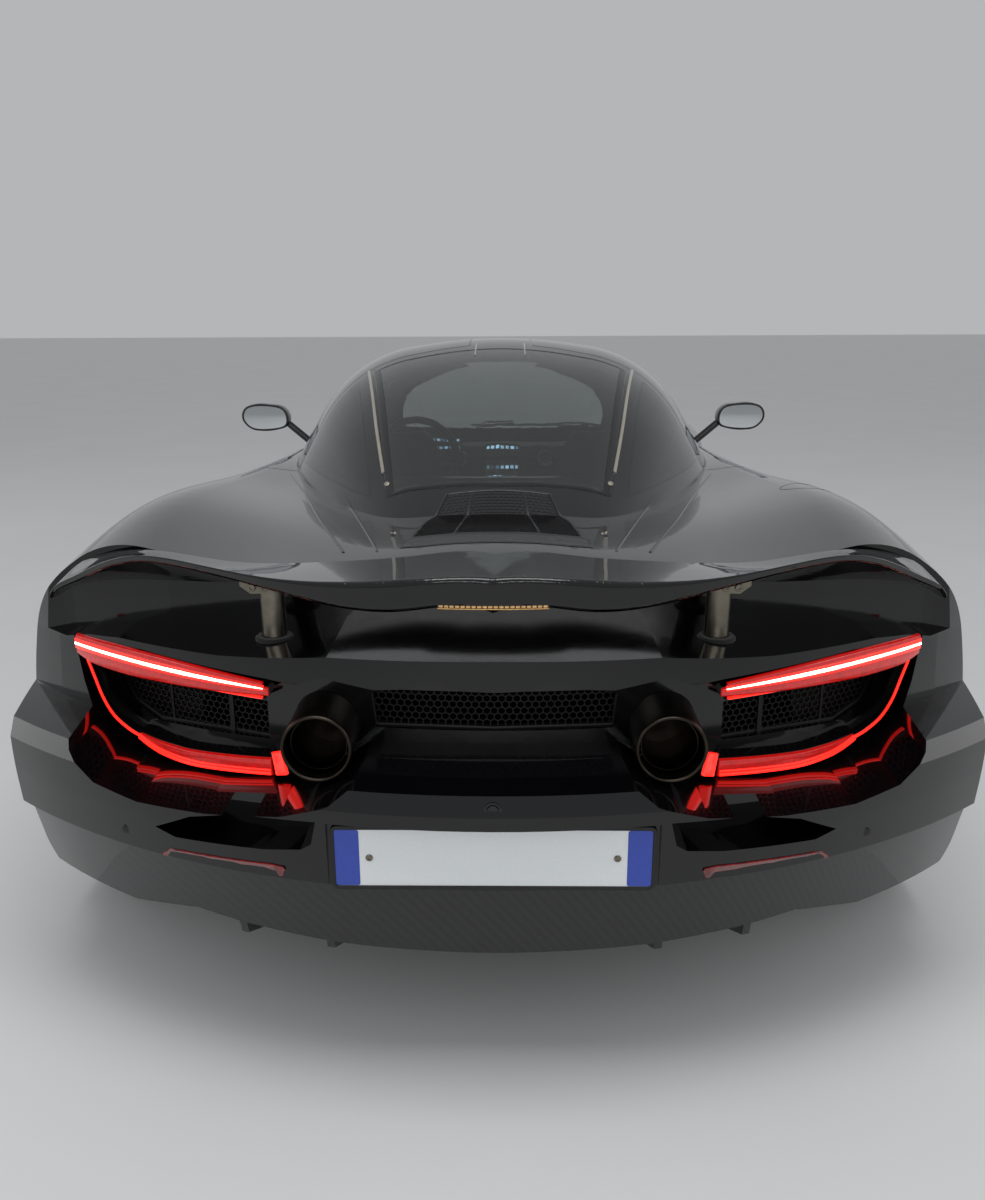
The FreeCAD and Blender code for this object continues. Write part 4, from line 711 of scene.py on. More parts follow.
# Outlines seen from behind, (x, z)
SIDE_OUTLET = [(404, 556), (640, 546), (700, 570), (742, 640), (404, 628)]
CENTRE_OUTLET = symmetric([(0, 600), (206, 600), (214, 660), (190, 672), (0, 672)])
# A cell's width, a bar's width, and how far in the frame's face, the mesh's face and its back lie
OUTLET_CELL, OUTLET_BAR = 13, 1.6
FRAME_FACE, MESH_FACE, MESH_BACK = POCKET_INSET + 10, POCKET_INSET + 16, POCKET_INSET + 22
outlets = Shape()
outlets.honeycomb(SIDE_OUTLET, OUTLET_CELL, OUTLET_BAR, on_tail, MESH_FACE, MESH_BACK)
outlets.ribbon(SIDE_OUTLET, 4, on_tail, FRAME_FACE, MESH_BACK, True)
# Uprights behind the mesh
outlets.ribbon([(482, 552), (482, 636)], 5, on_tail, POCKET_INSET + 12, MESH_BACK)
outlets.ribbon([(612, 548), (612, 636)], 3, on_tail, POCKET_INSET + 14, MESH_BACK)
outlets.mirror()
outlets.honeycomb(CENTRE_OUTLET, OUTLET_CELL, OUTLET_BAR, on_tail, MESH_FACE, MESH_BACK)
outlets.ribbon(CENTRE_OUTLET, 4, on_tail, FRAME_FACE, MESH_BACK, True)
piece("outlet_meshes", outlets, PLASTIC, stands_for=["grilles"])

CENTRE_INTAKE = symmetric([(0, 152), (380, 152), (420, 184), (396, 262), (0, 276)])
SIDE_INTAKE = [(520, 168), (690, 176), (760, 250), (690, 322), (540, 296)]
INTAKE_CELL, INTAKE_BAR = 17, 2.0
# Seen from above the nose is part of a circle, and the plates lie this far in from it
NOSE_RADIUS, PLATE_INSET = 1150, 18
grille_tree = surface(["grilles"])


def on_intake(x, z, inset):
    """A place on the intakes' plates, moved rearwards by inset. Beside them it follows the nose's round."""
    found, _ = dropped(grille_tree, (x, NOSE + 50, z), REARWARDS)
    if found is None or found.y < NOSE - 900:
        nose = NOSE - NOSE_RADIUS + math.sqrt((NOSE_RADIUS - PLATE_INSET) ** 2 - x * x)
        return Vector((x, nose - inset, z))
    return found - Vector((0, inset, 0))


# Each mesh is drawn a little smaller than its plate
intake_mesh = Shape()
intake_mesh.honeycomb([(x * 0.985 + 8, z * 0.97 + 7) for x, z in SIDE_INTAKE], INTAKE_CELL, INTAKE_BAR,
                      on_intake, 0.5, 6)
intake_mesh.mirror()
intake_mesh.honeycomb([(x * 0.985, z * 0.97 + 6) for x, z in CENTRE_INTAKE], INTAKE_CELL, INTAKE_BAR,
                      on_intake, 0.5, 6)
piece("intake_meshes", intake_mesh, PLASTIC)

# Outlines seen from above, (x, y)
DECK_MESH = symmetric([(0, REAR_AXLE + 186), (124, REAR_AXLE + 184), (166, REAR_AXLE + 40),
                       (184, REAR_AXLE - 112), (0, REAR_AXLE - 122)])
DECK_PANEL = symmetric([(0, REAR_AXLE - 124), (186, REAR_AXLE - 114), (196, REAR_AXLE - 130),
                        (199, REAR_AXLE - 192), (0, REAR_AXLE - 204)])
DECK_CELL, DECK_BAR = 13, 2.0
# What a ray meets below this lies under a gap in the deck, whose usual height is the second
GAP_FLOOR, DECK_LEVEL = 700, 860
deck_tree = surface(["grilles", "rear_deck", "roof_frame", "rear_quarter_right", "rear_quarter_left"])


def on_deck(x, y, depth):
    """A place on the engine cover, lowered by depth. Over a gap it has the height just outside it."""
    for share in (1, 1.03):
        found, _ = dropped(deck_tree, (x * share, y, DECK_ABOVE), DOWN)
        if found is not None and found.z > GAP_FLOOR:
            return Vector((x, y, found.z - depth))
    return Vector((x, y, DECK_LEVEL - depth))


deck_mesh = Shape()
deck_mesh.honeycomb(DECK_MESH, DECK_CELL, DECK_BAR, on_deck, -1.2, 5)
# Two ribs that draw together towards the screen
for x in (-62, 62):
    rib = [(x * (1.5 - k / 22), REAR_AXLE - 116 + k * 27) for k in range(12)]
    deck_mesh.ribbon(rib, 3, on_deck, -1.6, 5)
piece("deck_mesh", deck_mesh, TRIM)
deck_trim = Shape()
deck_trim.ribbon(along(DECK_MESH + DECK_MESH[:1], 8), 3.2, on_deck, -2.2, 4)
deck_trim.ribbon(along(DECK_PANEL + DECK_PANEL[:1], 8), 2.6, on_deck, -2.0, 4)
piece("deck_mesh_frame", deck_trim, TRIM)
# Panel behind the mesh: its half width and how many faces it has across and along
PANEL_HALF, PANEL_ACROSS, PANEL_ALONG = 196, 24, 8
deck_panel = Shape()
rows = [[on_deck(-PANEL_HALF + 2 * PANEL_HALF * i / PANEL_ACROSS, REAR_AXLE - 120 - 9.6 * k, -0.8)
         for i in range(PANEL_ACROSS + 1)] for k in range(PANEL_ALONG + 1)]
for row, after in zip(rows, rows[1:]):
    deck_panel.put(row + after, [(i, i + 1, i + PANEL_ACROSS + 2, i + PANEL_ACROSS + 1)
                                 for i in range(PANEL_ACROSS)])
piece("deck_panel", deck_panel, PAINT)

# Rolled edges of the channels that run from the cabin's foot to the tail
deck_seams = Shape()
for path in ([(642, REAR_AXLE + 850), (538, REAR_AXLE + 525), (430, REAR_AXLE + 142), (361, REAR_AXLE - 70),
              (318, REAR_AXLE - 200)],
             [(424, REAR_AXLE + 420), (377, REAR_AXLE + 302), (319, REAR_AXLE + 84), (275, REAR_AXLE - 90),
              (248, REAR_AXLE - 200)]):
    deck_seams.ribbon(smooth_path(path, 9), 3.0, on_deck, -1.6, 3)
deck_seams.mirror()
piece("deck_channel_edges", deck_seams, PAINT)

# Tail lamps: bands along (x, z) paths seen from behind, that taper and lie on the tail's round surface

BLADE_PATH = smooth_path([(394, 677), (460, 680), (560, 684), (680, 688), (799, 690)], 8)
WEDGE_PATH = smooth_path([(386, 670), (470, 671), (600, 674), (730, 677), (797, 682)], 8)
WEDGE_HALVES = [7 + 14.5 * min(k / 20, 1) - 8 * max(0, (k - 27) / 5) for k in range(len(WEDGE_PATH))]
UPPER_WEDGE = smooth_path([(396, 682), (500, 690), (600, 695), (700, 698), (797, 697)], 8)
LOOP_PATH = smooth_path([(795, 688), (784, 662), (768, 625), (751, 586), (727, 556), (694, 538), (666, 530)],
                        8)
LOWER_PATH = smooth_path([(664, 533), (634, 519), (598, 510), (534, 506), (392, 516)], 8)
LOWER_WEDGE = smooth_path([(662, 537), (628, 528), (590, 521), (534, 518), (390, 527)], 8)
END_PATH = smooth_path([(377, 562), (373, 545), (369, 522)], 5)


def tapered(path, first, middle, last):
    """Half widths of a band that swells from its first to its middle width and narrows to its last."""
    count = len(path) - 1
    half = count / 2
    return [first + (middle - first) * min(k / half, 1) + (last - middle) * max(0.0, (k - half) / half)
            for k in range(count + 1)]


def lamp_part(name, material, bands, stands_for=()):
    """A part of both tail lamps. A band is a path, half widths, and how far in its face and back lie."""
    shape = Shape()
    for path, halves, face, back in bands:
        shape.ribbon(path, halves, on_tail, face, back)
    shape.mirror()
    piece(name, shape, material, stands_for=stands_for)


lamp_part("tail_lamp_housings", TRIM, [
    (WEDGE_PATH, [half + 2.5 for half in WEDGE_HALVES], 137, POCKET_INSET),
    (smooth_path([(400, 645), (520, 648), (640, 650), (738, 652)], 6), 3, 158, POCKET_INSET),
    (LOOP_PATH, 4.5, 147, POCKET_INSET),
    (LOWER_WEDGE, tapered(LOWER_WEDGE, 5, 14, 19), 142, POCKET_INSET),
    (END_PATH, 15, 130, POCKET_INSET),
], stands_for=["tail_lamps"])
lamp_part("tail_lamp_lenses", LENS, [
    (WEDGE_PATH, WEDGE_HALVES, 132, 142),
    (LOWER_WEDGE, tapered(LOWER_WEDGE, 3, 11, 16), 137, 146),
    (UPPER_WEDGE, tapered(UPPER_WEDGE, 3.5, 9, 9), 132, 142),
])

blade = Shape()
blade.ribbon(BLADE_PATH, tapered(BLADE_PATH, 0.5, 4.2, 2.6), on_tail, 129, 136, round_off=0.8)
blade.mirror()
piece("tail_lamp_blades", blade, BLADE)

# The glow that the blade throws into the lens beside it, and the thin lit edges
lamp_part("tail_lamp_guides", GUIDE, [
    ([(x, z - 0.5) for x, z in BLADE_PATH], tapered(BLADE_PATH, 4.5, 9.0, 10.5), 130.6, 136),
    (LOOP_PATH, 2.1, 143, 150),
    (LOWER_PATH, 2.6, 134, 142),
    ([(x, z + 6.5) for x, z in LOWER_PATH[1:]], 1.3, 135, 142),
    (END_PATH, tapered(END_PATH, 9, 11, 12), 125, 134),
    (smooth_path([(402, 651), (520, 654), (640, 657), (716, 661)], 6), 0.9, 147, 156),
])

# Reflectors low in the bumper: (x, top, bottom)
REFLECTOR_ROWS = [(343, 422, 416), (352, 424, 402), (362, 423.5, 393), (420, 421, 391.5), (480, 418.5, 390),
                  (540, 415.8, 388.8), (552, 414.5, 390), (562, 407, 395), (568, 403, 398)]
rear_tree = surface(["rear_bumper", "diffuser", "tail_panel"])


def on_bumper(x, z, inset):
    """A place on the bumper's skin, moved forwards by inset."""
    found, _ = dropped(rear_tree, (x, BEHIND, z), FORWARDS)
    skin = found.y if found is not None else TAIL + 30
    return Vector((x, skin + inset, z))


reflector = Shape()
reflector.ribbon([(x, (top + bottom) / 2) for x, top, bottom in REFLECTOR_ROWS],
                 [(top - bottom) / 2 for _, top, bottom in REFLECTOR_ROWS], on_bumper, -3.0, 2.0,
                 round_off=0.3)
reflector.mirror()
piece("rear_reflectors", reflector, REFLECTOR)

# Number plate: a thin frame, a white sheet with a blue band at each end, and two screws, with nothing on it
PLATE_LOW, PLATE_HIGH = low("number_plate"), high("number_plate")


def on_plate(x, z, out):
    """A place on the number plate's face, moved out of it."""
    return Vector((x, PLATE_LOW.y - out, z))


def rounded_box(x1, z1, x2, z2, radius, steps=4):
    """Outline of a rectangle with round corners."""
    outline = []
    for cx, cz, start in ((x2 - radius, z2 - radius, 0), (x1 + radius, z2 - radius, 90),
                          (x1 + radius, z1 + radius, 180), (x2 - radius, z1 + radius, 270)):
        for k in range(steps + 1):
            angle = math.radians(start + 90 * k / steps)
            outline.append((cx + radius * math.cos(angle), cz + radius * math.sin(angle)))
    return outline


plate_x, plate_z = PLATE_HIGH.x, (PLATE_LOW.z + PLATE_HIGH.z) / 2
surround = Shape()
surround.ribbon(rounded_box(-plate_x + 1, PLATE_LOW.z + 1, plate_x - 1, PLATE_HIGH.z - 1, 8), 3.5, on_plate,
                4, -4, True)
piece("plate_frame", surround, PLASTIC)
sheet = Shape()
sheet.slab(rounded_box(-plate_x, PLATE_LOW.z, plate_x, PLATE_HIGH.z, 9), on_plate, 1.5, -4)
piece("plate_sheet", sheet, PLATE_WHITE, stands_for=["number_plate"], edge=0.5)
bands = Shape()
for x in (-plate_x + 24, plate_x - 24):
    bands.slab(rounded_box(x - 20, PLATE_LOW.z + 5, x + 20, PLATE_HIGH.z - 5, 4), on_plate, 1.9, 0.5)
piece("plate_bands", bands, PLATE_BLUE)
screws = Shape()
SCREW_HEAD = [(0, 0), (6, 0), (6, 1.2), (5, 2.6), (2.2, 3.0), (2.0, 1.6), (0, 1.6)]
for x in (-plate_x + 60, plate_x - 60):
    screws.lathe(SCREW_HEAD, on_plate(x, plate_z, 1.5), REARWARDS, 24)
piece("plate_screws", screws, TURNED)

# Exhausts: each tip has a rolled lip, and a second ring stands inside it on three spacers
EXHAUST = (293, TAIL + 118, 600)
TIP_LIP = [(59.5, 2), (59.8, -3), (58.6, -6.5), (56.5, -7.5), (54, -6.5), (52.8, -3), (53, 2), (53, 30),
           (54.2, 30), (54.2, 2)]
TIP_RING = [(46, 22), (46.6, 20), (47.8, 20), (48.4, 22), (48.4, 70), (46, 70)]
tips = Shape()
for side in (1, -1):
    centre = Vector((side * EXHAUST[0], EXHAUST[1], EXHAUST[2]))
    tips.lathe(TIP_LIP, centre, FORWARDS, 72)
    tips.lathe(TIP_RING, centre, FORWARDS, 72)
    for angle in (90, 210, 330):
        out = Vector((math.cos(math.radians(angle)), 0, math.sin(math.radians(angle))))
        tips.tube([centre + out * radius + Vector((0, 34, 0)) for radius in (47, 54)], 3)
piece("exhaust_tips", tips, STAINLESS, angle=50)

# Struts: a rubber collar round each sleeve and two cap bolts in each bracket
STRUT = (397, -1960)
COLLAR = [(22.4, 0), (33, 0), (34, 1), (34, 5), (31, 8), (25, 9), (22.4, 8)]
CAP_BOLT = [(0, 0), (6.5, 0), (7, 0.6), (7, 6), (6.2, 7), (3.4, 7), (3.2, 4), (0, 4)]
collars, bolts = Shape(), Shape()
for side in (1, -1):
    collars.lathe(COLLAR, (side * STRUT[0], STRUT[1], 726), (0, 0, 1), 56)
    for dx in (8, 30):
        bolts.lathe(CAP_BOLT, (side * (STRUT[0] + dx), STRUT[1] - 18, 828), REARWARDS, 24)
piece("strut_seals", collars, RUBBER)
piece("bracket_bolts", bolts, TURNED, body="rear_wing")

# High brake lamp: a row of small bright cells over a lit line, on a dark strip in the wing's slot. Three rays
# give the slope and the bow of its face
lamp_low, lamp_high = low("brake_lamp"), high("brake_lamp")
lamp_tree = surface(["brake_lamp"])
lamp_mid = (lamp_low.z + lamp_high.z) / 2
lamp_ends = [dropped(lamp_tree, (x, BEHIND, z), FORWARDS)[0]
             for x, z in ((6, lamp_mid - 3), (6, lamp_mid + 3), (80, lamp_mid))]
lamp_slope = (lamp_ends[1].y - lamp_ends[0].y) / 6
lamp_face = (lamp_ends[0].y + lamp_ends[1].y) / 2
lamp_bow = (lamp_ends[2].y - lamp_face) / 80 ** 2


def on_wing_lip(x, z, inset):
    """A place on the high lamp's face, moved forwards by inset."""
    return Vector((x, lamp_face + lamp_bow * x * x + lamp_slope * (z - lamp_mid) + inset, z))


cells, strip = Shape(), Shape()
CELLS = 20
for k in range(CELLS):
    x = lamp_low.x + 6 + (lamp_high.x - lamp_low.x - 12) * k / (CELLS - 1)
    cells.slab(rounded_box(x - 3.4, lamp_mid - 1.4, x + 3.4, lamp_mid + 2.6, 1.2, 3), on_wing_lip, 0.5, 3)
strip_path = [(lamp_low.x + 0.6 + (lamp_high.x - lamp_low.x - 1.2) * k / 24, lamp_mid) for k in range(25)]
cells.ribbon([(x, z - 3.6) for x, z in strip_path], 0.9, on_wing_lip, 0.4, 3)
strip.ribbon(strip_path, 4.9, on_wing_lip, 1.4, 14, round_off=0.05)
piece("high_lamp_body", strip, TRIM, body="rear_wing", stands_for=["brake_lamp"])
piece("high_lamp_cells", cells, AMBER, body="rear_wing", edge=0.25)

# Wheels

# How many places round a tyre its section is drawn at
TYRE_STEPS = 288


def tyre(name, outer, width, bead, centre, body, node):
    """Tyre with a V-grooved tread, rounded shoulders and a plain ribbed sidewall. Its section is a list of
    (distance across, radius lost, depth of the tread's slots)."""
    half = width / 2
    grooves = [width * share for share in (-0.29, -0.1, 0.1, 0.29)]
    edge = half - 30
    columns = []
    for i in range(25):
        x = -edge + 2 * edge * i / 24
        if min(abs(x - g) for g in grooves) > 7:
            columns.append((x, 0.6 + 2.2 * (x / edge) ** 4, 4.5))
    for g in grooves:
        base = 0.6 + 2.2 * (g / edge) ** 4
        columns += [(g - 5.5, base, 0), (g - 4.4, base + 6.5, 0), (g + 4.4, base + 6.5, 0),
                    (g + 5.5, base, 0)]
    columns.sort()
    shoulder = [(edge + 7, 5.2, 4), (edge + 14, 9, 3.4), (edge + 20, 14, 2.4), (edge + 25, 20.5, 0.8)]
    wall = outer - bead
    side = [(half - 2.6, 29, 0), (half - 1.0, 0.40 * wall, 0), (half - 0.6, 0.5 * wall, 0),
            (half - 2.0, 0.515 * wall, 0), (half - 2.0, 0.56 * wall, 0), (half - 0.8, 0.575 * wall, 0),
            (half - 2.5, 0.7 * wall, 0), (half - 6, 0.82 * wall, 0), (half - 7.5, 0.85 * wall, 0),
            (half - 6.8, 0.87 * wall, 0), (half - 9, 0.94 * wall, 0), (half - 12, wall - 0.8, 0)]
    right = shoulder + side
    section = [(-x, loss, cut) for x, loss, cut in reversed(right)] + columns + right
    points, faces = [], []
    count = len(section)
    for k in range(TYRE_STEPS):
        angle = 2 * math.pi * k / TYRE_STEPS
        for x, loss, cut in section:
            # A slot every nine steps, drawn back by five from the middle to the edge
            in_slot = (k + abs(x) / edge * 5) % 9 < 1
            radius = outer - loss - (cut if in_slot else 0.0)
            points.append(centre + Vector((x, radius * math.sin(angle), radius * math.cos(angle))))
        a, b = k * count, (k + 1) % TYRE_STEPS * count
        faces += [(a + i, a + i + 1, b + i + 1, b + i) for i in range(count - 1)]
    shape = Shape()
    shape.put(points, faces)
    piece(name, shape, RUBBER, body=body, stands_for=[node], angle=40)


# Tyre radius and width, bead radius, distance from the car's middle, axle, height of the hub, and how far out
# of the wheel's middle the disc's near face lies
WHEELS = {
    "front": (327, 245, 241.5, 828, FRONT_AXLE, 327, 22),
    "rear": (345.5, 305, 254, 805, REAR_AXLE, 345.5, 25),
}
CENTRE_CAP = [(0, 0), (27, 0), (27, 1.5), (24, 3.5), (8, 5), (0, 5.2)]
WHEEL_NUT = [(0, 0), (11, 0), (11, 3), (8.5, 5), (8.5, 13), (6, 15), (0, 15.5)]
NUT_CIRCLE = 57
# (distance in from the bead, distance in from the tyre's side)
RIM_LIP = [(13, 11), (4, 10.8), (1, 8), (1, 4), (5, 2.5), (12, 6)]
CALIPER_OUT = 206
for end, (radius, width, bead, wheel_x, axle_y, hub_z, near) in WHEELS.items():
    for side_name, side in SIDES:
        tag = end + "_" + side_name
        wheel_body = "wheel_" + tag
        out = Vector((side, 0, 0))
        centre = Vector((side * wheel_x, axle_y, hub_z))
        half = width / 2
        tyre("tread_" + tag, radius, width, bead, centre, wheel_body, "tyre_" + tag)
        # Centre cap, and five nuts on their circle
        nuts = Shape()
        nuts.lathe(CENTRE_CAP, centre + out * (half - 30), out, 40)
        for k in range(5):
            angle = math.radians(90 + 72 * k)
            spot = Vector((0, NUT_CIRCLE * math.cos(angle), NUT_CIRCLE * math.sin(angle)))
            nuts.lathe(WHEEL_NUT, centre + spot + out * (half - 30), out, 6)
        piece("wheel_nuts_" + tag, nuts, TURNED, body=wheel_body)
        # Lips round both of the rim's faces
        lip = Shape()
        for face in (1, -1):
            lip.lathe([(bead - down, face * (half - inward)) for down, inward in RIM_LIP], centre, out, 96)
        piece("rim_lips_" + tag, lip, ALLOY, body=wheel_body)
        # Ventilated disc round the hub, with its bell
        disc = Shape()
        for at in (near, near + 19):
            disc.lathe([(96, at), (188, at), (190, at + 2), (190, at + 7), (188, at + 9), (96, at + 9)],
                       centre, out, 72)
        disc.lathe([(82.6, near + 2), (98, near + 2), (98, near + 26), (82.6, near + 26)], centre, out, 60)
        across, over = sideways(out)
        for k in range(36):
            turn = 2 * math.pi * k / 36
            start = across * math.cos(turn) + over * math.sin(turn)
            end_at = across * math.cos(turn + 0.18) + over * math.sin(turn + 0.18)
            middle = centre + out * (near + 14)
            disc.tube([middle + start * 100, middle + end_at * 184], 5.6, 4)
        piece("brake_disc_" + tag, disc, IRON, body=wheel_body)
        # Caliper behind the axle, fixed to the upright: two walls beside the disc, joined by three bridges
        holder = "knuckle_" + tag if end == "front" else "body"
        inner = (8 if end == "front" else -7) + 2
        outer = near + 41
        caliper = Shape()
        stations = [(math.radians(148 + 64 * k / 14), 1 - 0.25 * abs(k - 7) / 7) for k in range(15)]

        def caliper_part(stations, foot, reach, start_x, end_x):
            """Block between two distances along the axle and two radii, bent round it."""
            rings = []
            for turn, share in stations:
                ray = Vector((0, math.cos(turn), math.sin(turn)))
                tip = reach(share)
                rings.append([centre + ray * r + out * x
                              for r, x in ((foot, start_x), (tip, start_x), (tip, end_x), (foot, end_x))])
            caliper.skin(rings)

        for start_x, end_x in ((inner, near - 3), (near + 31, outer)):
            caliper_part(stations, 130, lambda share: CALIPER_OUT * (0.9 + 0.1 * share), start_x, end_x)
        for first, last in ((0, 3), (5, 9), (11, 14)):
            caliper_part(stations[first:last + 1], 194, lambda share: CALIPER_OUT, inner, outer)
        piece("brake_caliper_" + tag, caliper, CALIPER, body=holder, edge=2.0)

# Mirrors: silvered glass in each housing's rear face
MIRROR_FACE = FRONT_AXLE - 706
MIRROR_OUT = MIRROR_SPAN / 2
MIRROR_OUTLINE = [(MIRROR_OUT - 196, 818), (MIRROR_OUT - 120, 800), (MIRROR_OUT - 40, 806), (MIRROR_OUT, 850),
                  (MIRROR_OUT - 12, 900), (MIRROR_OUT - 70, 918), (MIRROR_OUT - 170, 908),
                  (MIRROR_OUT - 203, 872)]
MIDDLE_X, MIDDLE_Z = MIRROR_OUT - 108, 860


def about_middle(points, across, up):
    """Points drawn in towards the mirror's middle."""
    return [(MIDDLE_X + (x - MIDDLE_X) * across, MIDDLE_Z + (z - MIDDLE_Z) * up) for x, z in points]


glass_outline = smooth_path(about_middle(MIRROR_OUTLINE, 0.86, 0.82), 5, True)
for side_name, side in SIDES:

    def on_mirror(x, z, out):
        """A place on the mirror's face, moved rearwards by out, with a slight crown."""
        reach = ((x - MIDDLE_X) / 100) ** 2 + ((z - MIDDLE_Z) / 60) ** 2
        return Vector((side * x, MIRROR_FACE - out + 0.8 * reach, z))

    glass = Shape()
    rings = [[on_mirror(x, z, 1.6) for x, z in about_middle(glass_outline, share, share)]
             for share in (0.05, 0.35, 0.65, 0.9, 1.0)]
    rings.append([on_mirror(x, z, -2) for x, z in glass_outline])
    glass.skin(rings)
    piece("mirror_glass_" + side_name, glass, SILVERED, body="door_" + side_name)
    gasket = Shape()
    gasket.ribbon(glass_outline, 2.6, on_mirror, 2.4, -2, True)
    piece("mirror_gasket_" + side_name, gasket, RUBBER, body="door_" + side_name)

# Headlamps: three turned rings with a core on each bezel, its brightness painted light
# (x, y, radius)
HEADLAMP_RINGS = [(640, NOSE - 290, 30), (728, NOSE - 372, 30), (796, NOSE - 480, 24)]
headlamp_tree = surface(["headlamps"])
for side_name, side in SIDES:
    cores, bezels = Shape(), Shape()
    for x, y, radius in HEADLAMP_RINGS:
        spot, _ = dropped(headlamp_tree, (side * x, y, 1000), DOWN)
        if spot is None:
            continue
        bezels.lathe([(radius - 7, 0.2), (radius - 1, 0.2), (radius - 1, 2), (radius - 3, 3.2),
                      (radius - 6, 2.2)], spot, (0, 0, 1), 48)
        cores.lathe([(0, 0.2), (radius - 9, 0.2), (radius - 10, 1.6), (radius - 16, 3.4), (0, 4.2)],
                    spot, (0, 0, 1), 40)
    piece("headlamp_rings_" + side_name, bezels, TURNED)
    piece("headlamp_cores_" + side_name, cores, CLEAR)


def sunk_into(names, level=850, inwards=(1, 0)):
    """Gives places on packed panels, found from above and sunk by a depth. Past their edge it looks again
    further inwards, with x times the one and y plus the other, and at last takes a set level."""
    tree = surface(names)

    def place(x, y, depth):
        for share, shift in ((1, 0), inwards):
            found, normal = dropped(tree, (x * share, y + shift, ABOVE), DOWN)
            if found is not None:
                return found - normal * depth * (1 if normal.z > 0 else -1)
        return Vector((x, y, level - depth))

    return place


# Glazing: black borders laid on the panes, as fired ceramic edges are, and bright trims beside the rear pane
on_screen = sunk_into(["rear_screen", "quarter_glass", "roof_frame"])
borders = Shape()
for path in ([(372, REAR_AXLE + 900), (268, REAR_AXLE + 236), (0, REAR_AXLE + 208)],
             [(0, REAR_AXLE + 926), (372, REAR_AXLE + 902)]):
    borders.ribbon(along(path, 14), 9, on_screen, -0.6, 1.5, round_off=0.2)
borders.mirror()
piece("rear_screen_border", borders, TRIM)
side_trims = Shape()
side_trims.ribbon(smooth_path([(294, REAR_AXLE + 330), (331, REAR_AXLE + 518), (359, REAR_AXLE + 680),
                               (395, REAR_AXLE + 892), (412, REAR_AXLE + 1000)], 8), 4.2, on_screen, -4, 2)
# The pane's lower fixings, and the two edges of the roof's spine
side_trims.lathe([(0, -1), (8, -1), (8, 2.5), (6, 5), (0, 6)], on_screen(280, REAR_AXLE + 280, 0),
                 (0.4, -0.4, 0.8), 24)
side_trims.ribbon(along([(74, REAR_AXLE + 850), (74, REAR_AXLE + 1010)], 6), 2.4, on_screen, -2.2, 2)
side_trims.mirror()
piece("rear_screen_side_trims", side_trims, POLISHED)

# Wipers: the blade runs from (x0, y0) to (x1, y1) and the arm ends over its middle
on_windscreen = sunk_into(["windscreen"], 800, (0.9, -12))
wipers = Shape()
for x0, x1, y0, y1 in ((-150, 250, FRONT_AXLE - 92, FRONT_AXLE - 150),
                       (240, 520, FRONT_AXLE - 110, FRONT_AXLE - 262)):
    start = on_windscreen(x0, y0, -16)
    end = on_windscreen((x0 + x1) / 2, (y0 + y1) / 2 - 6, -15)
    wipers.tube([start, start.lerp(end, 0.5) + Vector((0, 0, 5)), end], 4.5, 8)
    blade_path = [(x0 + 20 + (x1 - x0) * k / 12, y0 + 6 + (y1 - y0) * k / 12) for k in range(13)]
    wipers.ribbon(blade_path, 3.0, on_windscreen, -12, -0.5)
piece("wipers", wipers, PLASTIC)

# Door furniture: a flush push pad in each door
for side_name, side in SIDES:
    door_tree = surface(["door_" + side_name])

    def on_door(y, z, out):
        """A place on the door's skin, moved outwards by out."""
        found, _ = dropped(door_tree, (side * 1300, y, z), (-side, 0, 0))
        skin = found.x if found is not None else side * 900
        return Vector((skin + side * out, y, z))

    pad = Shape()
    pad.slab(rounded_box(FRONT_AXLE - 1480, 716, FRONT_AXLE - 1400, 736, 9), on_door, 1.2, -3)
    piece("door_release_" + side_name, pad, TRIM, body="door_" + side_name, edge=0.5)

# Fuel flap on the right quarter, parking sensors on the bumper
FLAP_X, FLAP_Y, FLAP_RADIUS = 760, REAR_AXLE + 250, 62
flap = Shape()
turns = [math.radians(angle) for angle in range(0, 360, 6)]
circle = [(FLAP_X + FLAP_RADIUS * math.cos(turn), FLAP_Y + FLAP_RADIUS * math.sin(turn)) for turn in turns]
flap.ribbon(circle, 1.3, sunk_into(["rear_quarter_right"]), -0.5, 1, True)
piece("fuel_flap_seam", flap, RUBBER)
sensors = Shape()
for x, z in ((250, 402), (640, 430)):
    spot = on_bumper(x, z, 0)
    sensors.lathe([(0, -1), (8.2, -1), (8.2, 1.2), (7.4, 1.6), (0, 1.8)], spot, (0.05, -1, 0), 28)
sensors.mirror()
piece("parking_sensors", sensors, TRIM)

# Camera above the plate: a dark lens in a ring
cap = Shape()
spot = on_bumper(0, 545, 0)
cap.lathe([(0, -1), (8, -1), (8, 0.6), (0, 0.8)], spot, REARWARDS, 32)
cap.lathe([(10.5, -1), (14, -1), (14, 1.4), (12.8, 2.2), (10.5, 1.4)], spot, REARWARDS, 32)
piece("tail_camera", cap, TRIM)

# Seats: a moulded shell with stuffed cushions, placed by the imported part's seats
SEAT_X = 335
SEAT_FLOOR = low("seats").z
seat_y = low("seats").y + 20
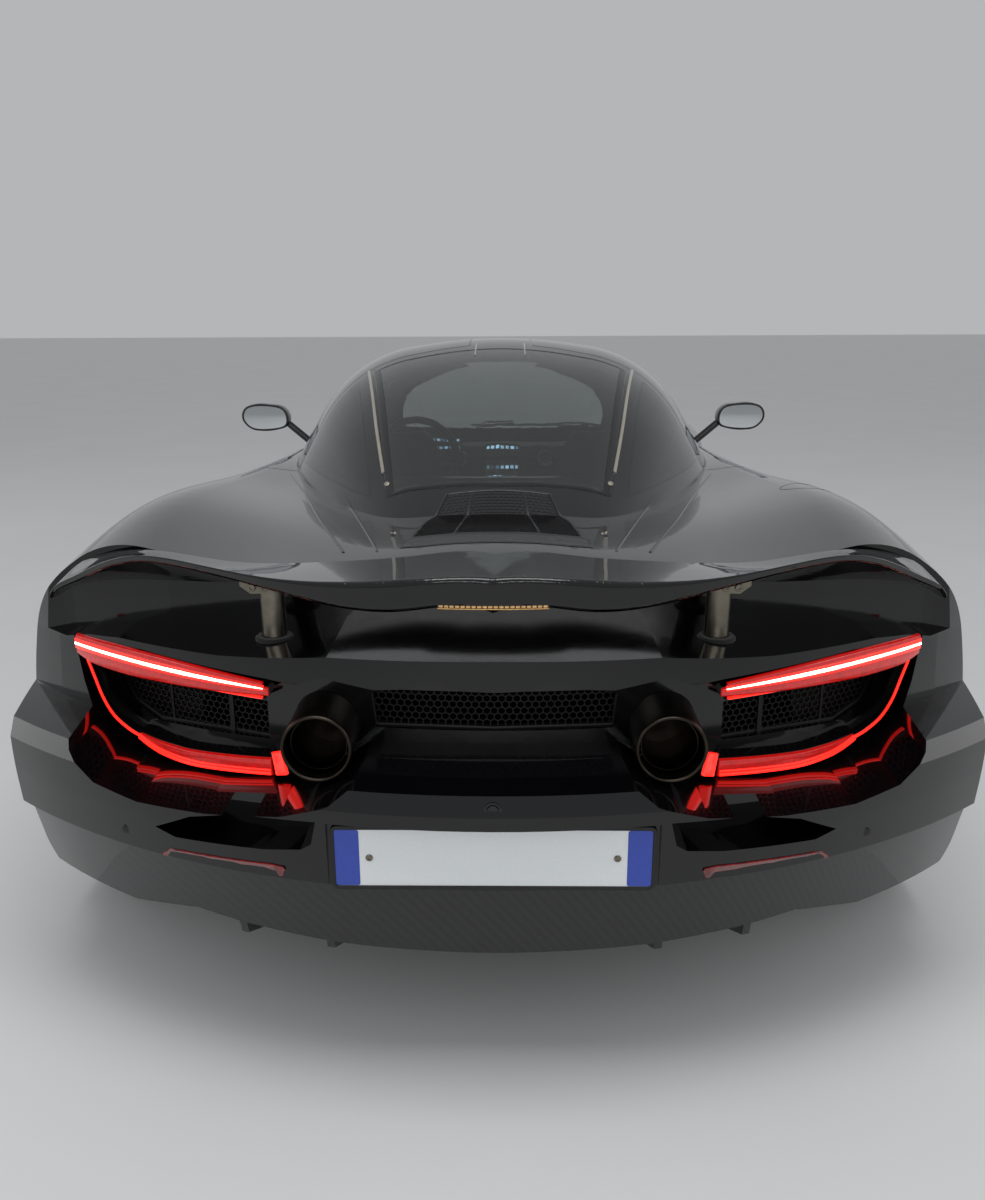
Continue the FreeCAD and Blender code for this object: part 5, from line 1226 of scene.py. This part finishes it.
# The seat shell's centre line from the front of the cushion up to the headrest:
# (y, z, half width, wing height, thickness)
SEAT_LINE = [
    (seat_y + 590, SEAT_FLOOR + 150, 205, 4, 14), (seat_y + 560, SEAT_FLOOR + 128, 214, 26, 16),
    (seat_y + 470, SEAT_FLOOR + 104, 218, 52, 18), (seat_y + 380, SEAT_FLOOR + 90, 220, 72, 18),
    (seat_y + 290, SEAT_FLOOR + 84, 221, 92, 18), (seat_y + 215, SEAT_FLOOR + 112, 222, 108, 18),
    (seat_y + 172, SEAT_FLOOR + 180, 222, 112, 18), (seat_y + 148, SEAT_FLOOR + 270, 221, 104, 18),
    (seat_y + 122, SEAT_FLOOR + 360, 218, 92, 18), (seat_y + 96, SEAT_FLOOR + 450, 206, 74, 17),
    (seat_y + 70, SEAT_FLOOR + 535, 176, 50, 16), (seat_y + 46, SEAT_FLOOR + 615, 158, 34, 15),
    (seat_y + 28, SEAT_FLOOR + 680, 146, 26, 14), (seat_y + 14, SEAT_FLOOR + 735, 130, 14, 13),
    (seat_y + 6, SEAT_FLOOR + 766, 104, 4, 12),
]


def square_to(line, i):
    """Direction square to the seat's line at one of its places, into the seat."""
    y1, z1 = line[max(i - 1, 0)][:2]
    y2, z2 = line[min(i + 1, len(line) - 1)][:2]
    length = math.hypot(y2 - y1, z2 - z1)
    return Vector((0, (z2 - z1) / length, -(y2 - y1) / length))


def seat_shell(x):
    """Moulded bucket: a channel whose wings stand up on both sides."""
    shape = Shape()
    rings = []
    line = smooth_path(SEAT_LINE, 4)
    for i, (y, z, half, wing, thick) in enumerate(line):
        up = square_to(line, i)
        base = Vector((x, y, z))
        inner, outer = [], []
        for k in range(17):
            u = -1 + k / 8
            rise = wing * max(0.0, (abs(u) - 0.55) / 0.45) ** 1.6
            inner.append(base + Vector((half * u * (1 - 0.04 * abs(u)), 0, 0)) + up * rise)
            outer.append(base + Vector((half * u, 0, 0)) + up * (rise - thick))
        rings.append(inner + outer[::-1])
    shape.skin(rings)
    return shape


def cushion_blank(stations):
    """Closed crowned form over stations of (centre, half width, up, thickness)."""
    shape = Shape()
    rings = []
    for centre, half, up, thick in stations:
        top, bottom = [], []
        for k in range(9):
            u = -1 + k / 4
            crown = math.sqrt(max(0.0, 1 - u ** 4))
            top.append(centre + Vector((half * u, 0, 0)) + up * thick * (0.25 + 0.75 * crown))
            bottom.append(centre + Vector((half * u * 0.97, 0, 0)) + up * 1.0)
        rings.append(top + bottom[::-1])
    shape.skin(rings)
    return shape


def inflated(name, shape, voxel, cap):
    """Cloth simulation of a stuffed cover: the form swells under pressure and no point moves past cap."""
    mesh = shape.mesh(name + "_blank")
    thing = bpy.data.objects.new(name + "_blank", mesh)
    bpy.context.scene.collection.objects.link(thing)
    remesh = thing.modifiers.new("voxels", "REMESH")
    remesh.mode = "VOXEL"
    remesh.voxel_size = voxel * MM
    depsgraph = bpy.context.evaluated_depsgraph_get()
    start = bpy.data.meshes.new_from_object(thing.evaluated_get(depsgraph))
    thing.modifiers.remove(remesh)
    thing.data = start
    before = [v.co.copy() for v in start.vertices]
    cloth = thing.modifiers.new("stuffing", "CLOTH")
    cloth.settings.use_pressure = True
    cloth.settings.uniform_pressure_force = 4.0
    cloth.settings.effector_weights.gravity = 0.0
    cloth.point_cache.frame_end = 20
    for step in range(1, 21):
        bpy.context.scene.frame_set(step)
    depsgraph = bpy.context.evaluated_depsgraph_get()
    start = bpy.data.meshes.new_from_object(thing.evaluated_get(depsgraph))
    for vertex, rest in zip(start.vertices, before):
        moved = vertex.co - rest
        if moved.length > cap * MM:
            vertex.co = rest + moved.normalized() * cap * MM
    thing.modifiers.remove(cloth)
    bpy.context.scene.frame_set(1)
    bpy.data.objects.remove(thing)
    return start


CHANNEL_HALF = 9


def cushion(name, mesh, shift, channels):
    """A stuffed pad in its place, with sewn channels pressed into it. A channel is a point on its plane, the
    plane's normal, its depth, and the direction it is pressed in."""
    own = mesh.copy()
    for vertex in own.vertices:
        for point, normal, depth, inwards in channels:
            gap = abs((vertex.co / MM - point).dot(normal))
            if gap < CHANNEL_HALF and vertex.normal.dot(inwards) < -0.2:
                vertex.co += inwards * depth * MM * (1 + math.cos(math.pi * gap / CHANNEL_HALF)) / 2
        vertex.co.x += shift * MM
    thing = piece(name, own, LEATHER, angle=180)
    fold = thing.modifiers.new("fine", "SUBSURF")
    fold.levels = 1
    fold.render_levels = 1
    return thing


def along_seat(first, last, inset, half_share, thick, lift):
    """Stations of a pad on the seat shell, from one place on SEAT_LINE to another."""
    line = smooth_path(SEAT_LINE, 4)[first:last]
    stations = []
    for i, (y, z, half, _, _) in enumerate(line):
        up = square_to(line, i)
        ends = min(i, len(line) - 1 - i)
        taper = min(1.0, 0.35 + 0.3 * ends)
        stations.append((Vector((0, y, z)) + up * lift, half * half_share - inset, up, thick * taper))
    return stations


shells = Shape()
for x in (-SEAT_X, SEAT_X):
    part = seat_shell(x)
    shells.put(part.points, part.faces)
piece("seat_shells", shells, CARBON, stands_for=["seats"], edge=2.5)
base_blank = inflated("seat_base", cushion_blank(along_seat(2, 18, 6, 0.62, 44, 2)), 6, 8)
back_blank = inflated("seat_back", cushion_blank(along_seat(23, 41, 6, 0.62, 36, 2)), 6, 8)
head_blank = inflated("seat_head", cushion_blank(along_seat(45, 54, 4, 0.74, 30, 2)), 6, 6)
base_channels = [(Vector((0, seat_y + y, 0)), Vector(FORWARDS), 5, Vector(DOWN)) for y in (345, 425, 505)]
back_channels = [(Vector((0, 0, SEAT_FLOOR + z)), Vector((0, 0.26, 1)).normalized(), 5,
                  Vector((0, -1, 0.26)).normalized()) for z in (250, 330, 410, 490)]
for side_name, side in SIDES:
    cushion("seat_base_cushion_" + side_name, base_blank, side * SEAT_X, base_channels)
    cushion("seat_back_cushion_" + side_name, back_blank, side * SEAT_X, back_channels)
    cushion("seat_head_cushion_" + side_name, head_blank, side * SEAT_X, [])

# Instruments: a lit display ahead of the driver, an upright touch panel, round vents, and the wheel's boss
dash_tree = surface(["dashboard"])
dash_rear = dropped(dash_tree, (-350, 0, 705), FORWARDS)[0]
panels, housings = Shape(), Shape()


def tilted(x0, y0, z0, lean):
    """Places on a panel that faces rearwards and leans back by a number of degrees."""
    sine, cosine = math.sin(math.radians(lean)), math.cos(math.radians(lean))

    def place(u, v, out):
        return Vector((x0 + u, y0 + v * sine - out * cosine, z0 + v * cosine + out * sine))

    return place


cluster = tilted(-325, dash_rear.y - 14, 752, 18)
touch = tilted(0, dash_rear.y - 12, 640, 14)
housings.slab(rounded_box(-158, -48, 158, 50, 14), cluster, 4, -26)
panels.slab(rounded_box(-150, -39, 150, 41, 8), cluster, 4.8, 0)
housings.slab(rounded_box(-72, -108, 72, 112, 12), touch, 4, -22)
panels.slab(rounded_box(-63, -98, 63, 102, 6), touch, 4.8, 0)
piece("display_housings", housings, TRIM, edge=2.0)
piece("displays", panels, DISPLAY)
vents = Shape()
for x in (-520, -175, 175, 520):
    spot, _ = dropped(dash_tree, (x, -200, 690), FORWARDS)
    if spot is None:
        continue
    vents.lathe([(24, -3), (32, -3), (32, 2), (29, 6), (25, 4)], spot, (0, -1, 0.3), 36)
    for rise in (-18, -9, 0, 9, 18):
        half = math.sqrt(25 ** 2 - rise ** 2)
        vents.tube([spot + Vector((-half, -1, rise)), spot + Vector((half, -1, rise))], 1.6, 6)
piece("dash_vents", vents, TURNED)
boss = Shape()
hub_at = Vector((-350, high("dashboard").y - 430, 700))
boss_axis = Vector((0, -1, 0.35)).normalized()
boss.lathe([(0, 20.5), (48, 20.5), (50, 22), (47, 26), (20, 29), (0, 29.5)], hub_at, boss_axis, 48)
# A small round cap on each of the wheel's three spokes
across, over = sideways(boss_axis)
for angle in (0, 180, 270):
    turn = math.radians(angle)
    out = across * math.cos(turn) + over * math.sin(turn)
    boss.lathe([(0, 9), (8, 9), (8, 11), (6, 12.5), (0, 13)], hub_at + out * 84, boss_axis, 24)
piece("steering_boss", boss, TRIM)

# Fixings under the car: rows of flanged screws hold the undertray
FLANGED_SCREW = [(0, -0.5), (11, -0.5), (11, 1), (7, 2.2), (6.5, 3.6), (2.6, 3.6), (2.4, 1.4), (0, 1.4)]
under_tree = surface(["undertray"])
fixings = Shape()
for y in range(-1100, 1101, 275):
    for x in (120, 470, 640):
        spot, _ = dropped(under_tree, (x, y, -50), (0, 0, 1))
        if spot is not None and spot.z < 140:
            fixings.lathe(FLANGED_SCREW, spot, DOWN, 16)
fixings.mirror()
piece("undertray_screws", fixings, TURNED)

# Stage, light and camera


def pale_floor():
    """Pale matt floor, faintly mottled."""
    material, tree = new_tree("floor_painted_matt")
    place = add_node(tree, "ShaderNodeTexCoord").outputs["Object"]
    mottle = add_node(tree, "ShaderNodeTexNoise", {"Scale": per_metre(700), "Detail": 3.0}, {"Vector": place})
    colour = add_node(tree, "ShaderNodeMix", {FIRST: linear("#c2c3c3"), SECOND: linear("#cacaca")},
                      {FACTOR: mottle.outputs[0]}, data_type="RGBA")
    shader = add_node(tree, "ShaderNodeBsdfPrincipled", {"Roughness": 0.6},
                      {"Base Color": colour.outputs[MIXED]})
    add_node(tree, "ShaderNodeOutputMaterial", links={"Surface": shader.outputs[0]})
    return material


def studio_world():
    """Even pale surround. The camera, mirrors and glass see it at strength 1, and as light it is 1.15."""
    world = bpy.data.worlds.new("studio")
    world.use_nodes = True
    tree = world.node_tree
    tree.nodes.clear()
    path = add_node(tree, "ShaderNodeLightPath")
    through = add_node(tree, "ShaderNodeMath",
                       links={0: path.outputs["Is Glossy Ray"], 1: path.outputs["Is Transmission Ray"]},
                       operation="MAXIMUM")
    seen = add_node(tree, "ShaderNodeMath", links={0: path.outputs["Is Camera Ray"], 1: through.outputs[0]},
                    operation="MAXIMUM")
    strength = add_node(tree, "ShaderNodeMapRange", {"To Min": 1.15, "To Max": 1.0},
                        {"Value": seen.outputs[0]})
    back = add_node(tree, "ShaderNodeBackground", {"Color": linear("#b4b6b8")},
                    {"Strength": strength.outputs[0]})
    add_node(tree, "ShaderNodeOutputWorld", links={"Surface": back.outputs[0]})
    return world


# Metres from the middle of the floor to its sides
FLOOR = 40
floor_mesh = bpy.data.meshes.new("floor")
floor_mesh.from_pydata([(-FLOOR, -FLOOR, 0), (FLOOR, -FLOOR, 0), (FLOOR, FLOOR, 0), (-FLOOR, FLOOR, 0)], [],
                       [(0, 1, 2, 3)])
floor = bpy.data.objects.new("floor", floor_mesh)
bpy.context.scene.collection.objects.link(floor)
floor_mesh.materials.append(pale_floor())

# Soft boxes: name, place, what it faces, width and height in metres, watts
SOFT_BOXES = [
    ("ceiling", (0, -2.6, 4.4), (0, -1.6, 0), 3.2, 1.6, 90),
    ("left_wall", (-5.6, -1.4, 2.6), (0, -0.6, 0.5), 6.5, 1.8, 60),
    ("right_wall", (5.6, -1.4, 2.6), (0, -0.6, 0.5), 6.5, 1.8, 60),
    ("behind", (0, -8.0, 2.6), (0, -1.5, 0.5), 5.0, 0.8, 60),
]
for name, place, aim, width, depth, power in SOFT_BOXES:
    light = bpy.data.lights.new(name, "AREA")
    light.shape = "RECTANGLE"
    light.size = width
    light.size_y = depth
    light.energy = power
    lamp = bpy.data.objects.new(name, light)
    lamp.location = place
    lamp.rotation_euler = (Vector(aim) - Vector(place)).to_track_quat("-Z", "Y").to_euler()
    bpy.context.scene.collection.objects.link(lamp)

# The photograph's viewpoint: close behind the car, a little above its roof. Metres, degrees and pixels
VIEWPOINT = (0.024, -3.690, 1.305)
YAW, PITCH, ROLL = 0.92, -16.3, -0.26
IMAGE_WIDTH, FOCAL_LENGTH = 985, 1013
SENSOR_MM = 36.0
lens_data = bpy.data.cameras.new("camera")
lens_data.sensor_fit = "HORIZONTAL"
lens_data.sensor_width = SENSOR_MM
lens_data.lens = SENSOR_MM * FOCAL_LENGTH / IMAGE_WIDTH
camera = bpy.data.objects.new("camera", lens_data)
turn = (Matrix.Rotation(math.radians(YAW), 4, "Z") @ Matrix.Rotation(math.radians(90 + PITCH), 4, "X")
        @ Matrix.Rotation(math.radians(ROLL), 4, "Z"))
camera.matrix_world = Matrix.Translation(VIEWPOINT) @ turn
bpy.context.scene.collection.objects.link(camera)
bpy.context.scene.camera = camera

bpy.context.scene.view_settings.view_transform = "Standard"
bpy.context.scene.world = studio_world()
